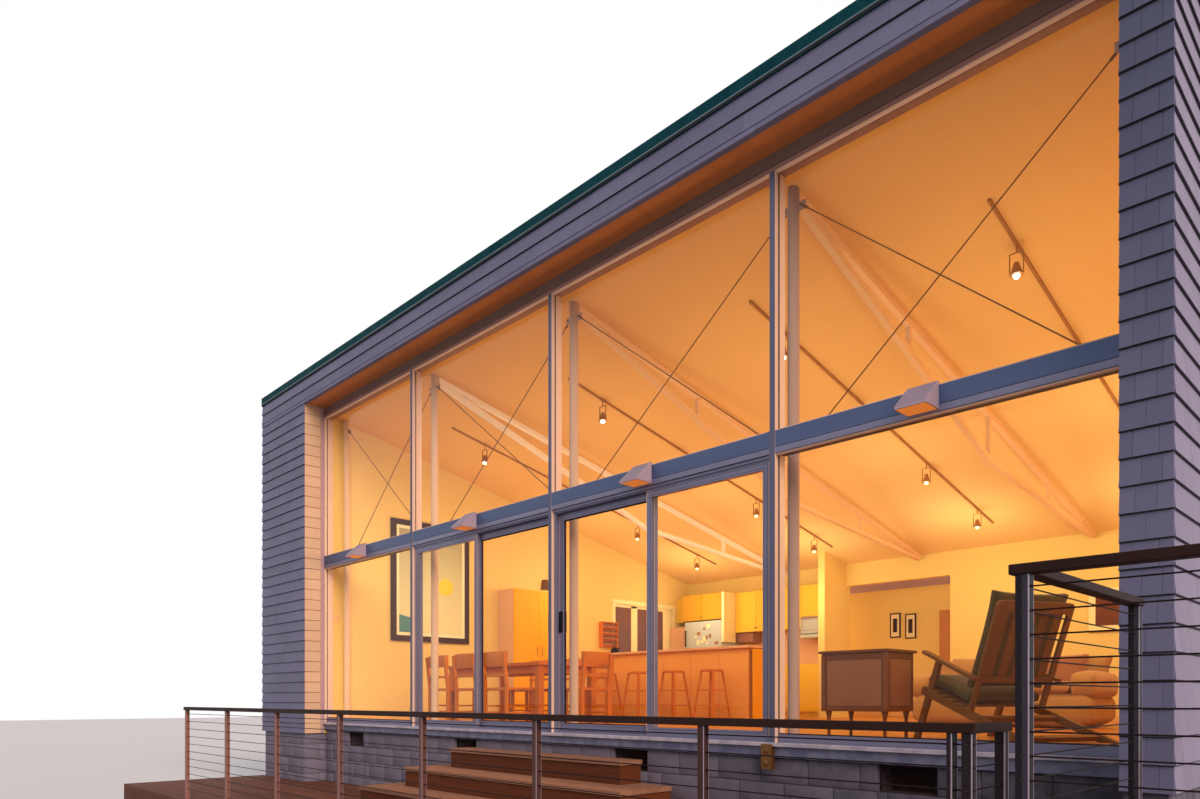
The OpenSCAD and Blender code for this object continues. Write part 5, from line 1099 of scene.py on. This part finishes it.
# A lamp and a switch on the room's side wall
fitting = dict(shade=((4.13, 2.17), (4.25, 2.17), (4.22, 2.34), (4.16, 2.34)), shadeOut=0.09, plateT=0.008,
               plate=(0.42, 0.5, 1.39, 1.5), key=(0.45, 0.47, 1.43, 1.46))
shade, plate = Solids(83), Solids(83)
shade.prism(fitting["shade"], innerLeft, innerLeft + fitting["shadeOut"], "x")
shade.build("wall_lamp", "brass", bevel=0.003)
plate.block(innerLeft, innerLeft + fitting["plateT"], *fitting["plate"])
plate.block(innerLeft + fitting["plateT"], innerLeft + 2 * fitting["plateT"], *fitting["key"])
plate.build("wall_switch", "peachPanel", bevel=0.002)
print("kitchen fitted")

# Sideboard: a thin top board, corner posts, and raised panels with a strip of painted shadow round them
chest = dict(lap=0.02, post=0.034, side=0.066, foot=0.222, rail=0.04, head=0.075, line=0.005, proud=0.006, bevel=0.016)
low, high = span("sideboard")
wood, raised, shadowStrips = Solids(86), Solids(87), Solids(88)
wood.block(low.x, high.x, low.y, high.y, high.z - 0.006, high.z - 0.001)
for x in (low.x + 0.018, high.x - 0.018 - chest["post"]):
    wood.block(x, x + chest["post"], low.y + 0.012, low.y + 0.03, chest["foot"], high.z - 0.03)
bottom, top, line = low.z + chest["foot"] + chest["rail"], high.z - chest["head"], chest["line"]
for u0, u1, place in (
        (low.x + chest["side"], high.x - chest["side"], lambda u, out, z: (u, low.y + chest["lap"] - out, z)),
        (low.y + chest["side"], high.y - chest["side"], lambda u, out, z: (high.x - chest["lap"] + out, u, z))):
    raised.loft([[place(u, out, z) for u, z in ((u0 + d, bottom + d), (u1 - d, bottom + d), (u1 - d, top - d),
                                                (u0 + d, top - d))]
                 for out, d in ((-0.001, 0.0), (0.001, 0.0), (chest["proud"], chest["bevel"]))], 0.5)
    # painted shadow: thin dark strips round each panel, where its edge would be shaded
    for a, b, v0, v1 in ((u0 - line, u0, bottom - line, top + line), (u1, u1 + line, bottom - line, top + line),
                         (u0, u1, bottom - line, bottom), (u0, u1, top, top + line)):
        shadowStrips.loft([[place(u, out, z) for u, z in ((a, v0), (b, v0), (b, v1), (a, v1))] for out in (-0.001, 0.0008)],
                   0.5)
wood.build("sideboard_trim", "darkWood", bevel=0.002, slot="dark_wood")
raised.build("sideboard_panels", "chestPanel", slot="dark_wood")
shadowStrips.build("sideboard_shadow_lines", "rubber", slot="dark_wood")
print("sideboard trimmed")

# Deck boards, laid along the front with staggered butt joints
deck = dict(board=0.14, gap=0.005, thick=0.038, stagger=1.2, round=0.003, roundFacing=0.002, facing=0.03, skirtRow=0.2,
            skirtBoard=0.195, joist=0.038, joistFirst=0.3, joistPitch=0.35)


def board(solids, x0, x1, y0, y1, z0, z1, axis="x", soft=deck["round"]):  # its two upper edges are taken off
    if axis == "x":
        a0, a1, low, high = y0, y1, x0, x1
    else:
        a0, a1, low, high = x0, x1, y0, y1
    solids.prism([(a0, z0), (a1, z0), (a1, z1 - soft), (a1 - soft, z1), (a0 + soft, z1), (a0, z1 - soft)], low, high,
                 axis)


def layBoards(solids, x0, x1, y0, y1, z, joints=()):
    count = max(1, round((y1 - y0 + deck["gap"]) / (deck["board"] + deck["gap"])))
    step = (y1 - y0 + deck["gap"]) / count
    for i in range(count):
        shift = (i % 2) * deck["stagger"]
        cuts = [x0] + [c + shift for c in joints if x0 < c + shift < x1] + [x1]
        for a, b in zip(cuts, cuts[1:]):
            board(solids, a + 0.001, b - 0.001, y0 + i * step, y0 + (i + 1) * step - deck["gap"], z - deck["thick"], z)


planks, treads, risers, landing = Solids(41), Solids(42), Solids(43), Solids(44)
layBoards(planks, 0.0, landingX, deckFront, 0.0, deckZ, joints=(2.4, 6.0, 9.6))
layBoards(planks, openLeft + 0.001, openRight - 0.001, 0.005, glassY - 0.01, deckZ, joints=(4.8, 8.4))
planks.build("deck_planks", "deckWood", slot="deck_wood", replaces=("deck_boards",))

steps = ("upper_step", "middle_step", "lower_step")
for n, name in enumerate(steps):
    low, high = span(name)
    layBoards(treads, low.x, high.x, low.y, high.y, high.z, joints=(5.2 + 0.3 * n,))
    z0, z1, t = low.z, high.z - deck["thick"], deck["facing"]
    y0, x0, x1 = low.y + 0.015, low.x + 0.015, high.x - 0.015
    board(risers, x0, x1, y0, y0 + t, z0, z1, soft=deck["roundFacing"])
    for x in (x0, x1 - t):
        board(risers, x, x + t, y0 + t, high.y, z0, z1, "y", soft=deck["roundFacing"])
treads.build("step_treads", "stepTread", slot="deck_wood", replaces=steps)
risers.build("step_risers", "stepRiser", slot="deck_wood")

t, landingBack = deck["joist"], -0.002
layBoards(landing, landingX, landingEnd, deckFront, landingBack, landingZ)
skirtRows = [(groundZ + n * deck["skirtRow"], min(groundZ + n * deck["skirtRow"] + deck["skirtBoard"], landingZ - 0.04))
             for n in range(4)]
for y in (deckFront, landingBack - t):
    for z0, z1 in skirtRows:
        board(landing, landingX, landingEnd, y, y + t, z0, z1, soft=deck["roundFacing"])
for x in (landingX, landingEnd - t):
    for z0, z1 in skirtRows:
        board(landing, x, x + t, deckFront + t, landingBack - t, z0, z1, "y", soft=deck["roundFacing"])
for i in range(3):
    x = landingX + deck["joistFirst"] + i * deck["joistPitch"]
    board(landing, x, x + t, deckFront + t, landingBack - t, landingZ - 0.222, landingZ - t, "y")
landing.build("landing_boards", "deckWood", slot="deck_wood", replaces=("landing_deck",))
print("deck laid")

# Rails: painted highlights along the posts' corner edges, and ferrules where the cables pass
railing = dict(edge=0.0032, ferrule=0.005, neck=0.0042, out=0.0025, tip=0.0055, reach=0.03, proud=0.0004, foot=0.02)
edges, ferrules, faces = Solids(46), Solids(47), Solids(49)
cables = solidBoxes("rail_cables")
for low, high in solidBoxes("rail_posts"):
    z0, z1, proud, edge = low.z + railing["foot"], high.z - 0.002, railing["proud"], railing["edge"]
    # painted highlight: bright strips on the front-right and back-right corners of each post
    edges.block(high.x - edge, high.x + proud, low.y - proud, low.y + edge, z0, z1)
    edges.block(high.x - proud, high.x + proud, high.y - edge, high.y, z0, z1)
    middle = (low + high) / 2
    # painted light: the right half of a landing post's front is lighter, toward its lit corner
    if low.x > landingX:
        faces.block(middle.x, high.x - edge, low.y - 0.0003, low.y + 0.003, z0, z1)
    for a, b in cables:
        at, axis = (a + b) / 2, 0 if b.x - a.x > b.y - a.y else 1
        across = 1 - axis
        if not (low.z < at.z < high.z and a[axis] - railing["reach"] < middle[axis] < b[axis] + railing["reach"]
                and abs(at[across] - middle[across]) < railing["reach"]):
            continue
        at[axis] = 0
        for face, way in ((low[axis], -1), (high[axis], 1)):
            ferrules.lathe(at, [(face - 0.001 * way, railing["ferrule"]),
                                (face + railing["out"] * way, railing["ferrule"]),
                                (face + railing["tip"] * way, railing["neck"])], axis="xy"[axis], sides=8)
edges.build("post_highlights", "postHighlight", slot="post_steel")
ferrules.build("cable_ferrules", "rubber")
faces.build("landing_post_lit_faces", "postFaceLit", slot="post_steel")

# Outlet box on the base trim, with a hinged cover and two round sockets
outlet = dict(x=8.64, width=0.085, low=-0.195, high=-0.015, out=0.05, cover=0.012, lap=0.003, socket=0.022,
              socketIn=0.045, hinge=0.005)
case = Solids(48)
x0, x1, z0, z1, y1 = outlet["x"], outlet["x"] + outlet["width"], outlet["low"], outlet["high"], glassY - 0.04
y0, lap = y1 - outlet["out"], outlet["lap"]
case.block(x0, x1, y0 + outlet["cover"], y1, z0, z1)
case.block(x0 - lap, x1 + lap, y0, y0 + outlet["cover"], z0 - lap, z1 + lap)
for z in (z0 + outlet["socketIn"], z1 - outlet["socketIn"]):
    case.lathe(((x0 + x1) / 2, 0, z), [(y0 + 0.001, outlet["socket"]), (y0 - 0.004, outlet["socket"] - 0.001),
                                       (y0 - 0.006, outlet["socket"] - 0.005)], axis="y", sides=20)
case.tube([(x0 - 0.001, y0 + 0.006, z0 + 0.02), (x0 - 0.001, y0 + 0.006, z1 - 0.02)], outlet["hinge"])
case.build("outlet_box", "brass", bevel=0.002, smooth=40)

# Lounge chair cushions and the sofa: closed crowned forms, puffed up by a cloth run
pads = dict(pressure=4.0, frames=20, cap=0.015, voxel=0.012, cuts=9, quality=4)


def padMesh(name, size, crown):  # a soft box, its middle thicker and its sides drawn in between the corners
    mesh = bpy.data.meshes.new(name)
    work = bmesh.new()
    bmesh.ops.create_cube(work, size=2.0)
    bmesh.ops.subdivide_edges(work, edges=work.edges, cuts=pads["cuts"], use_grid_fill=True)
    for v in work.verts:
        x, y, z = v.co
        body = (1 - abs(x) ** 4) * (1 - abs(y) ** 4)
        inX = 1 - 0.04 * (1 - y * y) * abs(x) ** 3
        inY = 1 - 0.04 * (1 - x * x) * abs(y) ** 3
        rounded = 1 - 0.16 * abs(z) ** 6
        v.co = Vector((x * inX * rounded * size[0] / 2, y * inY * rounded * size[1] / 2,
                       z * (1 - crown + crown * body) * size[2] / 2))
    work.to_mesh(mesh)
    work.free()
    return mesh


def bake(piece):
    seen = piece.evaluated_get(bpy.context.evaluated_depsgraph_get())
    mesh = bpy.data.meshes.new_from_object(seen)
    piece.modifiers.clear()
    piece.data = mesh


def corners(piece):
    return np.array([v.co[:] for v in piece.data.vertices])


def puff(piece, voxel):  # voxel remesh, then Blender's cloth with pressure, then the cap on how far a point moves
    remesh = piece.modifiers.new("even mesh", "REMESH")
    remesh.mode, remesh.voxel_size = "VOXEL", voxel
    bake(piece)
    rest = corners(piece)
    cloth = piece.modifiers.new("filling", "CLOTH").settings
    cloth.use_pressure, cloth.uniform_pressure_force, cloth.quality = True, pads["pressure"], pads["quality"]
    cloth.effector_weights.gravity = 0.0
    scene = bpy.context.scene
    for step in range(1, pads["frames"] + 1):
        scene.frame_set(step)
    bake(piece)
    scene.frame_set(1)
    moved = corners(piece) - rest
    far = np.linalg.norm(moved, axis=1, keepdims=True)
    held = rest + moved * np.minimum(1.0, pads["cap"] / np.maximum(far, 1e-9))
    piece.data.vertices.foreach_set("co", held.ravel())


def turned(degrees, axis):
    return Matrix.Rotation(math.radians(degrees), 4, axis)


def cushion(name, size, place, look, voxel=pads["voxel"], crown=0.25, replaces=()):
    piece = bpy.data.objects.new(name, padMesh(name, size, crown))
    bpy.context.scene.collection.objects.link(piece)
    puff(piece, voxel)
    piece.data.transform(Matrix.Translation(corner) @ place)
    piece.data.shade_smooth()
    piece.data.materials.clear()
    piece.data.materials.append(finish(look))
    piece.modifiers.new("smooth", "SUBSURF").render_levels = 1
    declare(piece, "house", replaces)


lounge = dict(x=-1.33, y=1.49, turn=64, seatY=0.1, seatZ=0.246, tilt=20, width=0.71, seat=0.5, back=0.78, thick=0.105)
loungeFrame = (Matrix.Translation((openRight + lounge["x"], lounge["y"], 0)) @ turned(lounge["turn"], "Z")
               @ Matrix.Translation((0, lounge["seatY"], lounge["seatZ"])) @ turned(lounge["tilt"], "X"))
cushion("lounge_seat", (lounge["width"], lounge["seat"], lounge["thick"]),
        loungeFrame @ Matrix.Translation((0.39, 0.27, 0.068)), "oliveCloth",
        replaces=("lounge_cushions",))
cushion("lounge_back", (lounge["width"], lounge["back"], lounge["thick"]),
        loungeFrame @ Matrix.Translation((0.39, 0.068, 0.524)) @ turned(90, "X"), "oliveCloth")

sofa = dict(base=(2.0, 0.9, 0.36), seat=(0.77, 0.66, 0.13), back=(0.77, 0.42, 0.18), arm=(0.23, 0.88, 0.3),
            rear=(1.96, 0.5, 0.2), cushionX=0.385, armX=0.885, lean=80)
sofaLow, sofaHigh = span("sofa")


def onSofa(x, y, z):  # from the middle of its front edge on the floor
    return Matrix.Translation(((sofaLow.x + sofaHigh.x) / 2 + x, sofaLow.y + y, z))


cushion("sofa_base", sofa["base"], onSofa(0, 0.45, 0.2), "slipCloth", voxel=0.03, crown=0.02,
        replaces=("sofa",))
for way, side, look in ((-1, "left", "slipCloth"), (1, "right", "roseCloth")):
    cushion("sofa_seat_" + side, sofa["seat"], onSofa(way * sofa["cushionX"], 0.33, 0.44), "slipCloth",
            voxel=0.016)
    cushion("sofa_back_" + side, sofa["back"], onSofa(way * sofa["cushionX"], 0.66, 0.62) @ turned(sofa["lean"], "X"),
            look, voxel=0.016)
    cushion("sofa_arm_" + side, sofa["arm"], onSofa(way * sofa["armX"], 0.45, 0.47), "slipCloth",
            voxel=0.02, crown=0.1)
cushion("sofa_back", sofa["rear"], onSofa(0, 0.79, 0.55) @ turned(90, "X"), "slipCloth", voxel=0.03,
        crown=0.08)
print("cushions filled")

# Light: a soft sky, a broad lamp in front, and lamps in the rooms
lighting = dict(sky=0.42, key=3.9, room=33.0, hall=70.0, keyAt=(22, -6.6, 12), keyAim=(6, 0, 2), roomY=(1.9, 4.3, 6.6),
                roomZ=2.25, roomDrop=0.12, hallAt=((2.6, 8.8, 1.6), (8.2, 8.8, 1.6)))
world = bpy.data.worlds.new("studio")
bpy.context.scene.world = world
world.use_nodes = True
tree = world.node_tree
sky = tree.nodes["Background"]
sky.inputs["Color"].default_value = tint("cfd9f0")
sky.inputs["Strength"].default_value = lighting["sky"]
white = put(tree, "Background", {"Color": (1, 1, 1, 1), "Strength": 1.0})
path = put(tree, "LightPath")
seen = maths(tree, "MAXIMUM", maths(tree, "MAXIMUM", path.outputs["Is Camera Ray"], path.outputs["Is Glossy Ray"]),
             path.outputs["Is Transmission Ray"])
mixed = put(tree, "MixShader", {0: seen, 1: sky.outputs[0], 2: white.outputs[0]})
tree.links.new(mixed.outputs[0], tree.nodes["World Output"].inputs["Surface"])


def lamp(name, kind, spot, energy, colour, aim=None, **settings):
    data = bpy.data.lights.new(name, kind)
    data.energy, data.color = energy, tint(colour)[:3]
    for key, value in settings.items():
        setattr(data, key, value)
    holder = bpy.data.objects.new(name, data)
    holder.location = Vector(spot) + corner
    if aim:
        holder.rotation_euler = (Vector(aim) - Vector(spot)).to_track_quat("-Z", "Y").to_euler()
    holder.visible_camera = holder.visible_glossy = holder.visible_transmission = False
    bpy.context.scene.collection.objects.link(holder)


lamp("side_lamp", "SUN", lighting["keyAt"], lighting["key"], "ffe9da", aim=lighting["keyAim"], angle=math.radians(40))
for i in range(4):
    x = (bayX[i] + bayX[i + 1]) / 2
    for n, y in enumerate(lighting["roomY"]):
        lamp(f"room_lamp_{i}{n}", "POINT", (x, y, lighting["roomZ"] - lighting["roomDrop"] * n), lighting["room"],
             "fff2da", shadow_soft_size=0.35)
for spot in lighting["hallAt"]:
    lamp(f"hall_lamp_{spot[0]:.0f}", "POINT", spot, lighting["hall"], "ffe8c4", shadow_soft_size=0.25)

# A plain pale floor
ground = dict(half=60, colour="d8d6d4", rough=0.8)
floor = bpy.data.objects.new("studio_floor", bpy.data.meshes.new("studio_floor"))
half = ground["half"]
floor.data.from_pydata([(-half, -half, 0), (half, -half, 0), (half, half, 0), (-half, half, 0)], [], [(0, 1, 2, 3)])
bpy.context.scene.collection.objects.link(floor)
floorShader = newMaterial("studioFloor")[1]
floorShader.inputs["Base Color"].default_value = tint(ground["colour"])
floorShader.inputs["Roughness"].default_value = ground["rough"]
floor.data.materials.append(looks["studioFloor"])

# The photograph's viewing angle: level, with the picture's middle shifted up
photoView = dict(at=(5.9675, -8.832, 1.417), lens=24.66, sensor=36.0, shiftY=0.2496, leftBy=(0.7227, 0.6912), far=200.0)
view = bpy.data.cameras.new("photo_view")
view.sensor_width, view.lens, view.shift_y = photoView["sensor"], photoView["lens"], photoView["shiftY"]
view.clip_end = photoView["far"]
camera = bpy.data.objects.new("photo_view", view)
camera.location = photoView["at"]
camera.rotation_euler = (math.radians(90), 0.0, math.atan2(*photoView["leftBy"]))
bpy.context.scene.collection.objects.link(camera)
bpy.context.scene.camera = camera
bpy.context.scene.view_settings.view_transform = "Standard"
